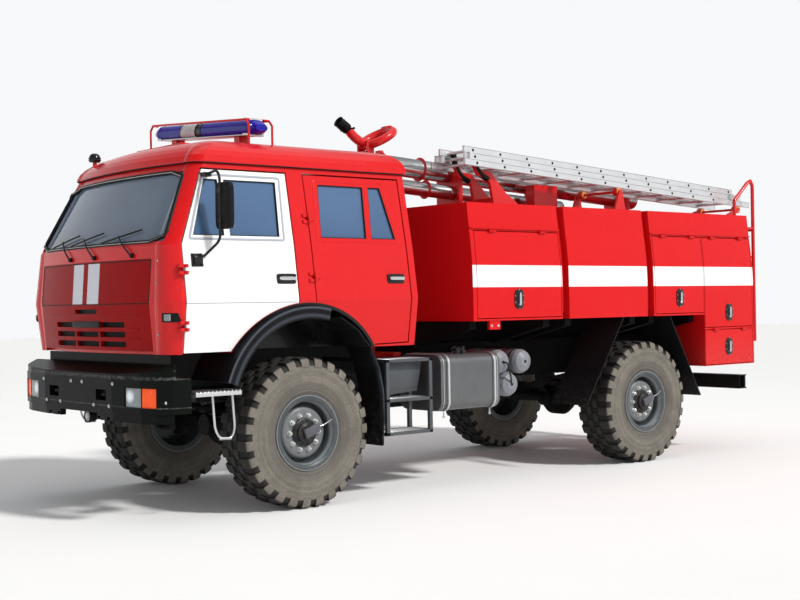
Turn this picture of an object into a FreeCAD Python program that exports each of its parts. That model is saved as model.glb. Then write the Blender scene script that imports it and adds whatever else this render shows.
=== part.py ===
"""A four-wheel-drive fire engine with a two-row cab, built from separate pieces.

Millimetres, +Z up, the front of the vehicle towards -Y and its left side towards +X.
The origin is on the ground, in the middle of the overall length and width.
Lengthwise places are written as distances behind the front axle and passed through at().
"""
import FreeCAD
import Part
import math
import os

# Overall sizes
wheelbase = 4200.0
front_overhang = 1430.0
rear_overhang = 2146.0
body_half_width = 1250.0
overall_length = front_overhang + wheelbase + rear_overhang
front_axle_y = front_overhang - overall_length / 2

# Wheels and axles
tyre_radius = 612.0
tyre_steps = 44
tyre_block_height = 18.0
tyre_shoulder_radius = 540.0
tyre_width = 410.0
track = 2040.0
rim_flange_radius = 319.0
rim_seat_radius = 268.0
rim_disc_depth = 85.0
rim_wall = 12.0
hub_radius = 112.0
hub_bore_radius = 45.0
spindle_clearance = 0.2
tyre_seat_clearance = 0.3
stud_circle_radius = 142.0
stud_count = 10
king_pin_x = 838.0
king_pin_radius = 22.0
knuckle_clearance = 1.0
axle_tube_radius = 68.0
differential_radius = 190.0
spring_x = 430.0
spring_width = 80.0
spring_half_length = 700.0
spring_leaf = 16.0
spring_leaf_count = 6
spring_sag = 95.0

# Frame
rail_outer_x = 430.0
rail_height = 250.0
rail_flange = 75.0
rail_thickness = 10.0
rail_bottom = 900.0
rail_front = -1120.0
rail_rear = 5760.0
cross_member_places = (-1050.0, -420.0, 900.0, 2200.0, 3500.0, 4900.0, 5700.0)
cross_member_size = 90.0
subframe_height = 110.0
bearer_half = 1130.0

# Front bumper
bumper_bottom = 840.0
bumper_top = 1105.0
bumper_lip_half = 1215.0
bumper_lip_bottom = 768.0
lip_middle_half = 330.0
lip_middle_rise = 52.0
work_lamp_rise = 7.0
bumper_shelf_half = 1080.0
bumper_shelf_height = 100.0
bumper_shelf_depth = 215.0
bumper_wall = 45.0
bumper_apron_gap = 8.0
bumper_back = -1095.0
bumper_step_back = -1135.0
lamp_bottom = 885.0
lamp_top = 1038.0
lamp_inner_x = 775.0
lamp_middle_x = 985.0
lamp_outer_x = 1148.0
lamp_depth = 60.0
tow_hole_inner_x = 335.0
tow_hole_outer_x = 510.0
tow_hole_bottom = 925.0
tow_hole_top = 1010.0
tow_hole_pitch_x = 160.0
tow_hole_pitch_z = 100.0
tow_hole_radius = 10.5
rear_beam_bottom = 650.0
rear_beam_top = 800.0
rear_beam_half = 1150.0
rear_beam_y = 5850.0
rear_beam_flange = 130.0

# Cab
cab_half_width = 1165.0
cab_crease_half_width = 1228.0
cab_crease_forward = 30.0
cab_top_half_width = 1035.0
cab_rear = 1170.0
cab_bottom = 1285.0
cab_crease = 1690.0
cab_waist = 2120.0
cab_eaves = 2775.0
cab_wall = 45.0
cab_floor_thickness = 50.0
cab_side_front = -1130.0
cab_edge_front = -1245.0
cab_edge_x = 985.0
cab_nose = -1320.0
top_side_front = -830.0
top_edge_front = -915.0
top_edge_x = 880.0
top_nose = -1000.0
arch_y = 20.0
arch_z = 800.0
arch_radius = 840.0
arch_inner_x = 600.0
arch_liner = 20.0
roof_top = cab_eaves + 210
roof_wall = 35.0
roof_lip = 18.0
roof_edge = 14.0
roof_levels = 7
roof_draw_side = 330.0
roof_draw_front = 350.0
roof_draw_rear = 150.0
front_panel_bottom = cab_bottom + 25
front_panel_top = cab_waist - 100
front_panel_half = 950.0
grille_bottom = 1339.0
grille_pitch = 77.0
grille_slot = 43.0
air_slot_half = 190.0
air_slot_bottom = 1602.0
air_slot_top = 1638.0
windscreen_bottom = cab_waist + 30
windscreen_top = cab_eaves - 70
windscreen_bottom_half = 1075.0
windscreen_top_half = 935.0
glass_inset = 18.0
glass_thickness = 8.0

# Cab doors
door_gap = 10.0
door_far_gap = 3.0
door_bottom = cab_bottom + 10
door_top = cab_eaves - 60
front_door_front = -1115.0
front_door_top_front = -865.0
front_door_rear = -85.0
rear_door_front = 95.0
rear_door_rear = 1092.0
window_bottom = cab_waist + 75
window_top = cab_eaves - 135
front_quarter_points = ((-1010.0, window_bottom), (-858.0, window_top), (-735.0, window_top), (-728.0, window_bottom))
front_window_points = ((-676.0, window_bottom), (-680.0, window_top), (-190.0, window_top), (-212.0, window_bottom))
rear_window_points = ((200.0, window_bottom), (232.0, window_top), (704.0, window_top), (674.0, window_bottom))
rear_quarter_points = ((726.0, window_bottom), (762.0, window_top), (890.0, window_top), (990.0, window_bottom))
front_hinge_heights = (1500.0, 1930.0)
rear_hinge_heights = (1873.0, 2353.0)
rear_hinge_out = 22.0
door_handle_height = 1860.0
mirror_width = 165.0
mirror_depth = 55.0
mirror_turn = 12.0
front_handle_y = -190.0
rear_handle_y = 940.0

# Hinges
hinge_pin_radius = 6.0
hinge_barrel_radius = 13.0
hinge_length = 78.0
hinge_leaf = 5.0
hinge_root = 6.0
hinge_reach = 55.0
hinge_clearance = 0.3

# Body behind the cab
body_bottom = 1475.0
body_top = 2550.0
body_top_half_width = 1180.0
body_fold = 1850.0
body_wall = 30.0
front_locker_front = 1800.0
front_locker_rear = 2955.0
tank_front = 3050.0
tank_rear = 4200.0
tank_recess = 60.0
rear_locker_front = 4300.0
rear_locker_rear = 5985.0
low_locker_front = 5125.0
low_locker_bottom = 930.0
low_locker_inner_x = 560.0
gutter_height = 2310.0
gutter_reach = 16.0
gutter_thickness = 14.0
locker_door_thickness = 26.0
locker_door_gap = 7.0
locker_post = 34.0
locker_door_top = 2288.0
locker_door_bottom = 1500.0
divide_front = 5118.0
low_door_top = 1310.0
low_door_bottom = 945.0
back_door_half = 700.0
back_door_bottom = 1330.0
back_door_top = 2300.0

# Fuel tank, air tanks, battery box and steps
tank_start = 1440.0
tank_end = 2150.0
fuel_tank_bottom = 690.0
fuel_tank_top = 1185.0
fuel_tank_inner_x = 640.0
fuel_tank_outer_x = 1205.0
fuel_tank_round = 85.0
air_tank_radius = 114.0
air_tank_inner_x = 470.0
air_tank_outer_x = 1010.0
air_tank_dome = 60.0
air_tank_places = ((2330.0, 1085.0), (2620.0, 1080.0), (2440.0, 872.0))
step_front = 815.0
step_rear = 1330.0
step_top = 1170.0
step_bottom = 520.0
step_outer_x = 1215.0
step_inner_x = 900.0
step_bar = 35.0

# Mudguards
flare_outer_x = 1250.0
flare_inner_x = 1176.0
flare_width = 105.0
flare_wall = 16.0
seat_gap = 0.3
rear_guard_top = body_bottom - seat_gap
rear_guard_bottom = 628.0
rear_guard_inner_x = 780.0
rear_guard_thickness = 14.0

# Roof equipment
siren_x = -800.0
siren_y = -840.0
siren_lift = 34.0
monitor_y = 1585.0
monitor_pipe_radius = 62.0
monitor_base_top = roof_top + 115
monitor_loop_radius = 165.0
monitor_loop_tube = 42.0
monitor_loop_tilt = 30.0
nozzle_pipe_radius = 45.0
nozzle_tip_radius = 53.0
nozzle_bore = 33.0
monitor_fork_inner = 58.0
monitor_fork_outer = 78.0
monitor_axle_radius = 18.0
monitor_axle_height = 130.0
nozzle_angle = 31.6
nozzle_length = 380.0
light_bar_y = -155.0
light_bar_half = 840.0
light_bar_bottom = roof_top + 122
light_bar_top = light_bar_bottom + 140
roof_gear_lean = 4.2
guard_bar_radius = 9.5
guard_half = 815.0
guard_top = roof_top + 255
guard_front_y = -270.0
guard_rear_y = -40.0
ladder_length = 4360.0
ladder_front = 1990.0
ladder_front_height = body_top + 365
ladder_slope_degrees = 3.35
ladder_outer_x = 965.0
ladder_width = 490.0
ladder_rail_height = 62.0
ladder_rail_thickness = 26.0
ladder_section_inset = 32.0
ladder_section_rise = 63.0
rung_pitch = 355.0
rung_radius = 14.0
roller_radius = 42.0
hook_shift = 180.0
hook_inset = 97.0
hook_width = 34.0
big_tube_radius = 95.0
big_tube_x = 215.0
big_tube_height = body_top + 425
small_tube_radius = 70.0
small_tube_x = 300.0
small_tube_height = big_tube_height - 200
tube_start = 1450.0
big_tube_end = 5200.0
small_tube_end = 3950.0
tube_slope = 0.06
access_ladder_x = 1085.0
access_ladder_inner_x = 735.0
access_ladder_y = 6200.0
access_ladder_tube = 20.0
access_rung_pitch = 300.0


def at(distance):
    """Row-frame Y of a place that lies this far behind the front axle."""
    return front_axle_y + distance


def vec(x, y, z):
    return FreeCAD.Vector(x, y, z)


def box(x0, x1, y0, y1, z0, z1):
    """A block from its lowest to its highest corner."""
    return Part.makeBox(x1 - x0, y1 - y0, z1 - z0, vec(x0, y0, z0))


def rod(start, end, radius):
    """A round bar between two points."""
    run = end - start
    return Part.makeCylinder(radius, run.Length, start, run)


def ball(centre, radius):
    return Part.makeSphere(radius, centre)


def tube(start, end, radius, wall):
    """An open pipe between two points."""
    return rod(start, end, radius).cut(rod(start, end, radius - wall))


def bent_bar(points, radius):
    """Straight bars with a ball at each bend."""
    bars = [rod(a, b, radius) for a, b in zip(points, points[1:])]
    return join(bars + [ball(p, radius) for p in points[1:-1]])


def prism(points, axis, low, high):
    """A flat outline extruded along x, y or z. Its points are (y, z), (x, z) or (x, y)."""
    place = {"x": lambda a, b: vec(low, a, b), "y": lambda a, b: vec(a, low, b), "z": lambda a, b: vec(a, b, low)}
    run = {"x": vec(high - low, 0, 0), "y": vec(0, high - low, 0), "z": vec(0, 0, high - low)}
    corners = [place[axis](a, b) for a, b in points]
    return Part.Face(Part.makePolygon(corners + corners[:1])).extrude(run[axis])


def join(shapes):
    """One solid, or a compound of separate solids, from several shapes."""
    if len(shapes) == 1:
        return shapes[0]
    return shapes[0].multiFuse(shapes[1:]).removeSplitter()


def mirrored(shape):
    """The same shape on the other side of the vehicle."""
    return shape.mirror(vec(0, 0, 0), vec(1, 0, 0))


def both_sides(shape):
    return [shape, mirrored(shape)]


def behind_axle(points):
    """Side-view points with their first value measured behind the front axle."""
    return [(at(a), b) for a, b in points]


def widened(points, margin):
    """A convex side-view outline grown by a margin on every side."""
    grown = []
    count = len(points)
    area = sum(points[i][0] * points[(i + 1) % count][1] - points[(i + 1) % count][0] * points[i][1]
               for i in range(count))
    turn = 1.0 if area > 0 else -1.0
    for i in range(count):
        before, here, after = points[i - 1], points[i], points[(i + 1) % count]
        lines = []
        for a, b in ((before, here), (here, after)):
            length = math.hypot(b[0] - a[0], b[1] - a[1])
            out = (turn * (b[1] - a[1]) / length, -turn * (b[0] - a[0]) / length)
            lines.append((a[0] + out[0] * margin, a[1] + out[1] * margin, b[0] - a[0], b[1] - a[1]))
        (x1, y1, u1, v1), (x2, y2, u2, v2) = lines
        share = ((x2 - x1) * v2 - (y2 - y1) * u2) / (u1 * v2 - v1 * u2)
        grown.append((x1 + share * u1, y1 + share * v1))
    return grown


nodes = {}


def keep(name, shape):
    """Files a finished piece under its node name."""
    nodes[name] = shape


def hinge_pair(point, along, to_frame, outward, fixed_reach=hinge_reach, moving_reach=hinge_reach, depth=hinge_root):
    """A pin hinge: the fixed half with its pin, and the moving half with its barrel.

    point is the middle of the pin, along its direction, to_frame points from the pin to the fixed side,
    and outward points away from the wall. The leaves reach depth farther in than the barrel.
    """
    third = hinge_length / 3
    start = point - along * (hinge_length / 2)
    pin = rod(start, start + along * hinge_length, hinge_pin_radius)
    fixed, moving = [pin], []
    for index in range(3):
        low = start + along * (third * index + (hinge_clearance if index == 1 else 0))
        high = start + along * (third * (index + 1) - (hinge_clearance if index == 1 else 0))
        barrel = rod(low, high, hinge_barrel_radius)
        side = to_frame if index != 1 else to_frame * -1
        reach = fixed_reach if index != 1 else moving_reach
        root = low - outward * (hinge_barrel_radius + depth)
        face = root + outward * (hinge_leaf + depth)
        corners = [root, root + side * reach, face + side * reach, face]
        leaf = Part.Face(Part.makePolygon(corners + corners[:1])).extrude(high - low)
        if index == 1:
            bore = rod(low, high, hinge_pin_radius + hinge_clearance)
            moving.append(join([barrel, leaf]).cut(bore))
        else:
            fixed.append(join([barrel, leaf]))
    return join(fixed), join(moving)


# Wheels

def wheel_profile(points, centre_x):
    """A side-on profile of (distance outwards from the wheel's middle, radius), spun about the axle."""
    corners = [vec(centre_x + a, 0, r) for a, r in points]
    face = Part.Face(Part.makePolygon(corners + corners[:1]))
    return face.revolve(vec(0, 0, 0), vec(1, 0, 0), 360)


def flat_face(corners):
    return Part.Face(Part.makePolygon(corners + corners[:1]))


def make_tyre():
    """The left tyre about the origin's axle line, with its middle at x = 0.

    It is built of flat faces in equal steps round the axle. At each step one shoulder carries a raised block and
    the other a groove, and they change over at the next step.
    """
    half = tyre_width / 2
    middle = (0, tyre_radius - 10)
    edge = (half - 2, tyre_shoulder_radius)
    block = [middle, (20, tyre_radius), (half - 15, tyre_radius), edge]
    groove = [middle, (half - 33, tyre_radius - tyre_block_height), edge]
    side_wall = [(half, 440), (half - 21, rim_flange_radius + 11), (half - 35.4, rim_flange_radius - 10.8),
                 (half - 47.4, rim_seat_radius + tyre_seat_clearance)]
    step = 2 * math.pi / tyre_steps
    scale = 1 / math.cos(step / 2)

    def corner(x, radius, angle):
        return vec(x, radius * scale * math.cos(angle), radius * scale * math.sin(angle))
    faces = []
    for index in range(tyre_steps):
        start, end = (index - 0.5) * step, (index + 0.5) * step
        for side in (-1, 1):
            raised = (index % 2 == 0) == (side > 0)
            path = (block if raised else groove) + side_wall
            for (x0, r0), (x1, r1) in zip(path, path[1:]):
                faces.append(flat_face([corner(side * x0, r0, start), corner(side * x1, r1, start),
                                        corner(side * x1, r1, end), corner(side * x0, r0, end)]))
            faces.append(flat_face([corner(side * x, r, start) for x, r in block + groove[-2:0:-1]]))
        x, r = side_wall[-1]
        faces.append(flat_face([corner(-x, r, start), corner(x, r, start), corner(x, r, end), corner(-x, r, end)]))
    shell = Part.makeShell(faces)
    shell.sewShape()
    tyre = Part.makeSolid(shell)
    if tyre.Volume < 0:
        tyre.reverse()
    return tyre


def make_rim():
    """The left rim, disc and hub, open at the back for the spindle."""
    half = tyre_width / 2
    seat = rim_seat_radius
    inner = seat - rim_wall
    flange = rim_flange_radius - 12
    bead_gap = 55 - tyre_seat_clearance
    disc = half - rim_disc_depth
    barrel = [(-half + bead_gap - 32, flange), (-half + bead_gap - 20, flange), (-half + bead_gap - 8, seat),
              (half - bead_gap + 8, seat), (half - bead_gap + 20, flange), (half - bead_gap + 32, flange),
              (half - bead_gap + 24, seat - 6), (half - bead_gap, inner), (-half + bead_gap, inner)]
    shell = wheel_profile(barrel, 0)
    face = wheel_profile([(disc - 16, hub_bore_radius + 30), (disc, hub_bore_radius + 30), (disc - 2, 205),
                          (disc - 50, inner + 4), (disc - 66, inner + 4), (disc - 18, 200)], 0)
    bore = hub_bore_radius + spindle_clearance
    hub = wheel_profile([(disc - 150, bore), (disc - 150, 120), (disc - 40, 120), (disc + 2, hub_radius),
                         (disc + 26, hub_radius), (disc + 60, 78), (disc + 60, 0), (disc + 34, 0), (disc + 34, bore)], 0)
    studs = [rod(vec(disc - 12, stud_circle_radius * math.sin(a), stud_circle_radius * math.cos(a)),
                 vec(disc + 34, stud_circle_radius * math.sin(a), stud_circle_radius * math.cos(a)), 15)
             for a in (2 * math.pi * i / stud_count for i in range(stud_count))]
    return join([shell, face, hub] + studs)


def make_spindle(from_x):
    """The stub that the hub turns on, from this x to just short of the hub's cap."""
    disc = track / 2 + tyre_width / 2 - rim_disc_depth
    return rod(vec(from_x, 0, 0), vec(disc + 33, 0, 0), hub_bore_radius)


def wheels():
    tyre, rim = make_tyre(), make_rim()
    for end, y in (("front", at(0)), ("rear", at(wheelbase))):
        for side, flip in (("left", False), ("right", True)):
            for name, shape in (("tyre", tyre), ("rim", rim)):
                placed = shape.copy()
                placed.translate(vec(track / 2, y, tyre_radius))
                keep(f"{name}_{end}_{side}", mirrored(placed) if flip else placed)


# Axles, knuckles and springs

def spring_pack(x, y):
    """A pack of leaves that shorten downwards, bent as two straight arms, with its end hangers."""
    top = rail_bottom - 60
    leaves = []
    for index in range(spring_leaf_count):
        half = spring_half_length * (1 - 0.13 * index)
        middle = top - spring_sag - index * spring_leaf
        tip = middle + spring_sag * half / spring_half_length
        outline = [(y - half, tip), (y, middle), (y + half, tip), (y + half, tip - spring_leaf),
                   (y, middle - spring_leaf), (y - half, tip - spring_leaf)]
        leaves.append(prism(outline, "x", x - spring_width / 2, x + spring_width / 2))
    for end in (-1, 1):
        mid = y + end * spring_half_length
        leaves.append(box(x - spring_width / 2 - 8, x + spring_width / 2 + 8, mid - 45, mid + 45,
                          top - spring_leaf - 20, rail_bottom))
    return join(leaves)


def spring_seat_height():
    return rail_bottom - 60 - spring_sag - spring_leaf_count * spring_leaf + 25


def axle_beam(half, y):
    """The axle tube with its round differential housing and spring seats."""
    parts = [rod(vec(-half, y, tyre_radius), vec(half, y, tyre_radius), axle_tube_radius)]
    big = differential_radius
    bulge = wheel_profile([(-1.15 * big, 0), (-1.15 * big, 60), (-0.65 * big, 0.8 * big), (-0.35 * big, big),
                           (0.35 * big, big), (0.65 * big, 0.8 * big), (1.15 * big, 60), (1.15 * big, 0)], 0)
    bulge.translate(vec(0, y, tyre_radius))
    parts.append(bulge)
    parts.append(rod(vec(0, y - 250, tyre_radius + 10), vec(0, y + 210, tyre_radius + 10), 92))
    seat = spring_seat_height()
    for x in (-spring_x, spring_x):
        parts.append(box(x - 55, x + 55, y - 95, y + 95, tyre_radius, seat + 10))
    return parts


def axles():
    y = at(0)
    fork_half = 120.0
    end = king_pin_x - 45
    front = axle_beam(end, y)
    for side in (-1, 1):
        for z in (-1, 1):
            low = tyre_radius + z * fork_half - 20
            front.append(box(min(side * (end - 60), side * (king_pin_x + 40)), max(side * (end - 60), side * (king_pin_x + 40)),
                             y - 45, y + 45, low, low + 40))
        front.append(box(min(side * (end - 60), side * end), max(side * (end - 60), side * end), y - 45, y + 45,
                         tyre_radius - fork_half, tyre_radius + fork_half))
        front.append(rod(vec(side * king_pin_x, y, tyre_radius - fork_half - 20),
                         vec(side * king_pin_x, y, tyre_radius + fork_half + 20), king_pin_radius))
    keep("front_axle", join(front))
    inner = fork_half - 20 - knuckle_clearance
    body = rod(vec(king_pin_x, y, tyre_radius - inner), vec(king_pin_x, y, tyre_radius + inner), 42)
    spindle = make_spindle(king_pin_x)
    spindle.translate(vec(0, y, tyre_radius))
    arm = box(king_pin_x - 5, king_pin_x + 35, y + 20, y + 190, tyre_radius - 90, tyre_radius - 60)
    pin_hole = rod(vec(king_pin_x, y, tyre_radius - 200), vec(king_pin_x, y, tyre_radius + 200),
                   king_pin_radius + spindle_clearance)
    knuckle = join([body, spindle, arm]).cut(pin_hole)
    keep("knuckle_left", knuckle)
    keep("knuckle_right", mirrored(knuckle))
    y = at(wheelbase)
    rear = axle_beam(king_pin_x, y)
    for side in (-1, 1):
        stub = make_spindle(king_pin_x - 40)
        stub.translate(vec(0, y, tyre_radius))
        rear.append(stub if side > 0 else mirrored(stub))
    keep("rear_axle", join(rear))
    packs = [spring_pack(x, y) for x in (-spring_x + 10, spring_x - 10) for y in (at(0), at(wheelbase))]
    seats = [s for s in (nodes["front_axle"], nodes["rear_axle"])]
    keep("leaf_springs", Part.Compound([p.cut(seats[0]).cut(seats[1]) for p in packs]))


# Frame and driveline

def frame():
    parts, tow_holes = [], []
    for side in (-1, 1):
        outer = side * rail_outer_x
        inner = side * (rail_outer_x - rail_flange)
        low, high = min(outer, inner), max(outer, inner)
        rail = box(low, high, at(rail_front), at(rail_rear), rail_bottom, rail_bottom + rail_height)
        web = side * (rail_outer_x - rail_thickness)
        hollow = box(min(web, inner - side * 1), max(web, inner - side * 1), at(rail_front) - 1, at(rail_rear) + 1,
                     rail_bottom + rail_thickness, rail_bottom + rail_height - rail_thickness)
        parts.append(rail.cut(hollow))
        parts.append(box(low, high, at(front_locker_front), at(rear_locker_rear - 120), rail_bottom + rail_height,
                         rail_bottom + rail_height + subframe_height))
    for place in cross_member_places:
        parts.append(box(-rail_outer_x + 5, rail_outer_x - 5, at(place) - cross_member_size / 2,
                         at(place) + cross_member_size / 2, rail_bottom + 80, rail_bottom + 80 + cross_member_size))
    bearers = rail_bottom + rail_height + subframe_height
    for place in (1900.0, 2850.0, 3150.0, 4100.0, 4400.0, 5050.0):
        outline = [(-rail_outer_x, bearers - 20), (rail_outer_x, bearers - 20), (bearer_half, body_bottom - 70),
                   (bearer_half, body_bottom), (-bearer_half, body_bottom), (-bearer_half, body_bottom - 70)]
        parts.append(prism(outline, "y", at(place) - 40, at(place) + 40))
    for side in (-1, 1):
        x0, x1 = side * (rail_outer_x - rail_flange), side * (rail_outer_x - 5)
        parts.append(box(min(x0, x1), max(x0, x1), at(rail_rear - 60), at(rear_beam_y + 20), rear_beam_bottom + 20,
                         rail_bottom + 80))
    plate = box(-130, 130, at(rail_rear - 15), at(rail_rear), rail_bottom + 50, rail_bottom + 200)
    for x in (-tow_hole_pitch_x / 2, tow_hole_pitch_x / 2):
        for z in (-tow_hole_pitch_z / 2, tow_hole_pitch_z / 2):
            start = vec(x, at(rail_rear - 120), rail_bottom + 125 + z)
            tow_holes.append(rod(start, start + vec(0, 200, 0), tow_hole_radius))
    parts.append(plate)
    beam = box(-rear_beam_half, rear_beam_half, at(rear_beam_y), at(rear_beam_y + rear_beam_flange), rear_beam_bottom,
               rear_beam_top)
    gap = box(-rear_beam_half - 1, rear_beam_half + 1, at(rear_beam_y + 10), at(rear_beam_y + rear_beam_flange + 1),
              rear_beam_bottom + 10, rear_beam_top - 10)
    parts.append(beam.cut(gap))
    whole = join(parts)
    for hole in tow_holes:
        whole = whole.cut(hole)
    keep("frame_rails", whole)


def driveline():
    keep("engine_block", join([
        box(-330, 330, at(-560), at(820), rail_bottom + 190, 1660),
        box(-260, 260, at(-480), at(760), rail_bottom - 60, rail_bottom + 200)]).cut(nodes["frame_rails"]))
    case_y = 1850.0
    case = box(-200, 200, at(case_y - 230), at(case_y + 230), 660, 1020)
    front_shaft = rod(vec(0, at(case_y - 220), 780), vec(0, at(250), tyre_radius + 10), 42)
    rear_shaft = rod(vec(0, at(case_y + 220), 780), vec(0, at(wheelbase - 250), tyre_radius + 20), 42)
    gearbox = rod(vec(0, at(740), 980), vec(0, at(case_y - 220), 900), 110)
    whole = join([case, front_shaft, rear_shaft, gearbox])
    for other in ("frame_rails", "front_axle", "rear_axle", "engine_block"):
        whole = whole.cut(nodes[other])
    keep("driveline", whole)


# Front bumper and its lamps

def bumper_plan(inset):
    """The bumper's outline from above, set in from its outer face by inset."""
    nose = at(-front_overhang) + inset
    half = cab_crease_half_width
    right = [(600, nose), (980, nose + 40), (half - 78 - inset * 0.5, nose + 85), (half - 3 - inset, nose + 190 - inset * 0.6),
             (half + 10 - inset, at(bumper_back))]
    return [(-x, y) for x, y in reversed(right)] + right


def bumper():
    outer = prism(bumper_plan(0), "z", bumper_bottom, bumper_top)
    inner_outline = bumper_plan(bumper_wall)
    inner_outline[0] = (inner_outline[0][0], at(bumper_back) + 1)
    inner_outline[-1] = (inner_outline[-1][0], at(bumper_back) + 1)
    inner = prism(inner_outline, "z", bumper_bottom - 1, bumper_top - bumper_wall)
    shell = outer.cut(inner)
    shell = shell.cut(box(-560, 560, at(bumper_step_back), at(bumper_back) + 2, bumper_bottom, bumper_top + 1))
    front = at(-front_overhang)
    for side in (-1, 1):
        for low, high, bottom, top in ((lamp_inner_x, lamp_outer_x, lamp_bottom, lamp_top),
                                       (tow_hole_inner_x, tow_hole_outer_x, tow_hole_bottom, tow_hole_top)):
            x0, x1 = sorted((side * low, side * high))
            shell = shell.cut(box(x0, x1, front - 1, front + 180, bottom, top))
    above = prism([(front - 60, bumper_top + 10), (front + bumper_shelf_depth, bumper_top + bumper_shelf_height),
                   (front + 400, bumper_top + bumper_shelf_height), (front + 400, 2000), (front - 60, 2000)], "x", -1400, 1400)
    shelf = prism(bumper_plan(8), "z", bumper_top - 5, bumper_top + bumper_shelf_height + 1).cut(above).common(
        box(-1400, 1400, front - 60, front + bumper_shelf_depth, 0, 2000))
    lip = prism(bumper_plan(12), "z", bumper_lip_bottom, bumper_bottom + 5).cut(
        prism(bumper_plan(60), "z", bumper_lip_bottom - 1, bumper_bottom + 6)).common(
        box(-bumper_lip_half, bumper_lip_half, front, front + 200, 0, 2000))
    for x in (-520, -360, -200, 200, 360, 520):
        lip = lip.cut(box(x - 22, x + 22, front, front + 200, bumper_lip_bottom - 1, bumper_lip_bottom + 30))
    lip = lip.cut(box(-lip_middle_half, lip_middle_half, front, front + 200, bumper_lip_bottom - 1,
                      bumper_lip_bottom + lip_middle_rise))
    arms = [box(x - 30, x + 30, front + 40, at(rail_front + 40), 960, 1060) for x in (-390, 390)]
    apron = box(-bumper_shelf_half + 20, bumper_shelf_half - 20, front + 262, front + 280, bumper_top,
                cab_bottom - bumper_apron_gap)
    keep("front_bumper", join([shell, shelf, lip, apron] + arms).cut(nodes["frame_rails"]))


def lamps():
    """Head lamps and indicators in the bumper, a work lamp under it, corner lamps and rear lamps."""
    pieces = []
    front = at(-front_overhang)
    whole = prism(bumper_plan(3), "z", lamp_bottom, lamp_top)
    core = prism(bumper_plan(lamp_depth), "z", lamp_bottom - 1, lamp_top + 1)
    corner = cab_block(-14, 1535, 1600).cut(cab_block(seat_gap, 1530, 1605))
    for side in (-1, 1):
        for low, high in ((lamp_inner_x, lamp_middle_x - 2), (lamp_middle_x + 2, lamp_outer_x)):
            x0, x1 = sorted((side * low, side * high))
            pieces.append(box(x0, x1, front - 20, front + 180, lamp_bottom, lamp_top).common(whole).cut(core))
        x0, x1 = sorted((side * 1105, side * 1300))
        pieces.append(corner.common(box(x0, x1, at(-1235), at(-1165), 1500, 1700)).cut(nodes["cab_shell"]))
        x0, x1 = sorted((side * 880, side * 1120))
        back = at(rear_beam_y + rear_beam_flange)
        pieces.append(box(x0, x1, back, back + 32, rear_beam_bottom + 5, rear_beam_top - 5))
    work_height = bumper_lip_bottom + work_lamp_rise
    work = rod(vec(50, front + 60 + seat_gap, work_height), vec(50, front + 145, work_height), 55)
    keep("lamps", Part.Compound(pieces + [work]))


# Cab

def plan_wire(half, side_front, edge_x, edge_front, nose, rear, z, inset=0.0):
    """The cab's closed outline from above: a bowed front, rounded corners, straight sides and a flat back."""
    h, sf, ex = half - inset, side_front + inset * 0.3, edge_x - inset * 0.6
    ef, n, r = edge_front + inset * 0.9, nose + inset, rear - inset
    corner = lambda s: vec(s * (h - 0.22 * (h - ex)), at(sf + 0.62 * (ef - sf)), z)
    edges = [
        Part.makeLine(vec(-h, at(r), z), vec(-h, at(sf), z)),
        Part.Arc(vec(-h, at(sf), z), corner(-1), vec(-ex, at(ef), z)).toShape(),
        Part.Arc(vec(-ex, at(ef), z), vec(0, at(n), z), vec(ex, at(ef), z)).toShape(),
        Part.Arc(vec(ex, at(ef), z), corner(1), vec(h, at(sf), z)).toShape(),
        Part.makeLine(vec(h, at(sf), z), vec(h, at(r), z)),
        Part.makeLine(vec(h, at(r), z), vec(-h, at(r), z))]
    return Part.Wire(edges)


def cab_level(z):
    """The cab's half width, its side's front, its corner's x and front, and its nose at a height."""
    plain = (cab_half_width, cab_side_front, cab_edge_x, cab_edge_front, cab_nose)
    wide = cab_crease_half_width - cab_half_width
    crease = (cab_crease_half_width, cab_side_front - cab_crease_forward, cab_edge_x + wide / 2,
              cab_edge_front - cab_crease_forward, cab_nose - cab_crease_forward)
    top = (cab_top_half_width, top_side_front, top_edge_x, top_edge_front, top_nose)
    stops = ((cab_bottom, plain), (cab_crease, crease), (cab_waist, plain), (cab_eaves, top))
    for (low, lower), (high, upper) in zip(stops, stops[1:]):
        if z <= high:
            break
    share = (z - low) / (high - low)
    return [a + (b - a) * share for a, b in zip(lower, upper)]


def cab_wire(z, inset=0.0):
    return plan_wire(*cab_level(z), cab_rear, z, inset)


def cab_side_x(z):
    """How far out the cab's side is at a height."""
    return cab_level(z)[0]


def cab_block(inset, bottom, top):
    """The cab's solid outer form between two heights, set in on all its sides by inset."""
    heights = [bottom] + [z for z in (cab_crease, cab_waist) if bottom < z < top] + [top]
    return join([Part.makeLoft([cab_wire(low, inset), cab_wire(high, inset)], True, True)
                 for low, high in zip(heights, heights[1:])])


def arch_cut(radius, x0, x1):
    return rod(vec(x0, at(arch_y), arch_z), vec(x1, at(arch_y), arch_z), radius)


def door_outlines(far):
    """Both doors' side-view outlines, with their tops and rear edges moved out by far."""
    front = [(front_door_front, door_bottom), (front_door_front, cab_waist), (front_door_top_front, door_top + far),
             (front_door_rear + far, door_top + far), (front_door_rear + far, door_bottom)]
    rear = [(rear_door_front, door_bottom), (rear_door_front, door_top + far), (rear_door_rear + far, door_top + far),
            (rear_door_rear + far, door_bottom + 22)]
    return behind_axle(front), behind_axle(rear)


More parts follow.
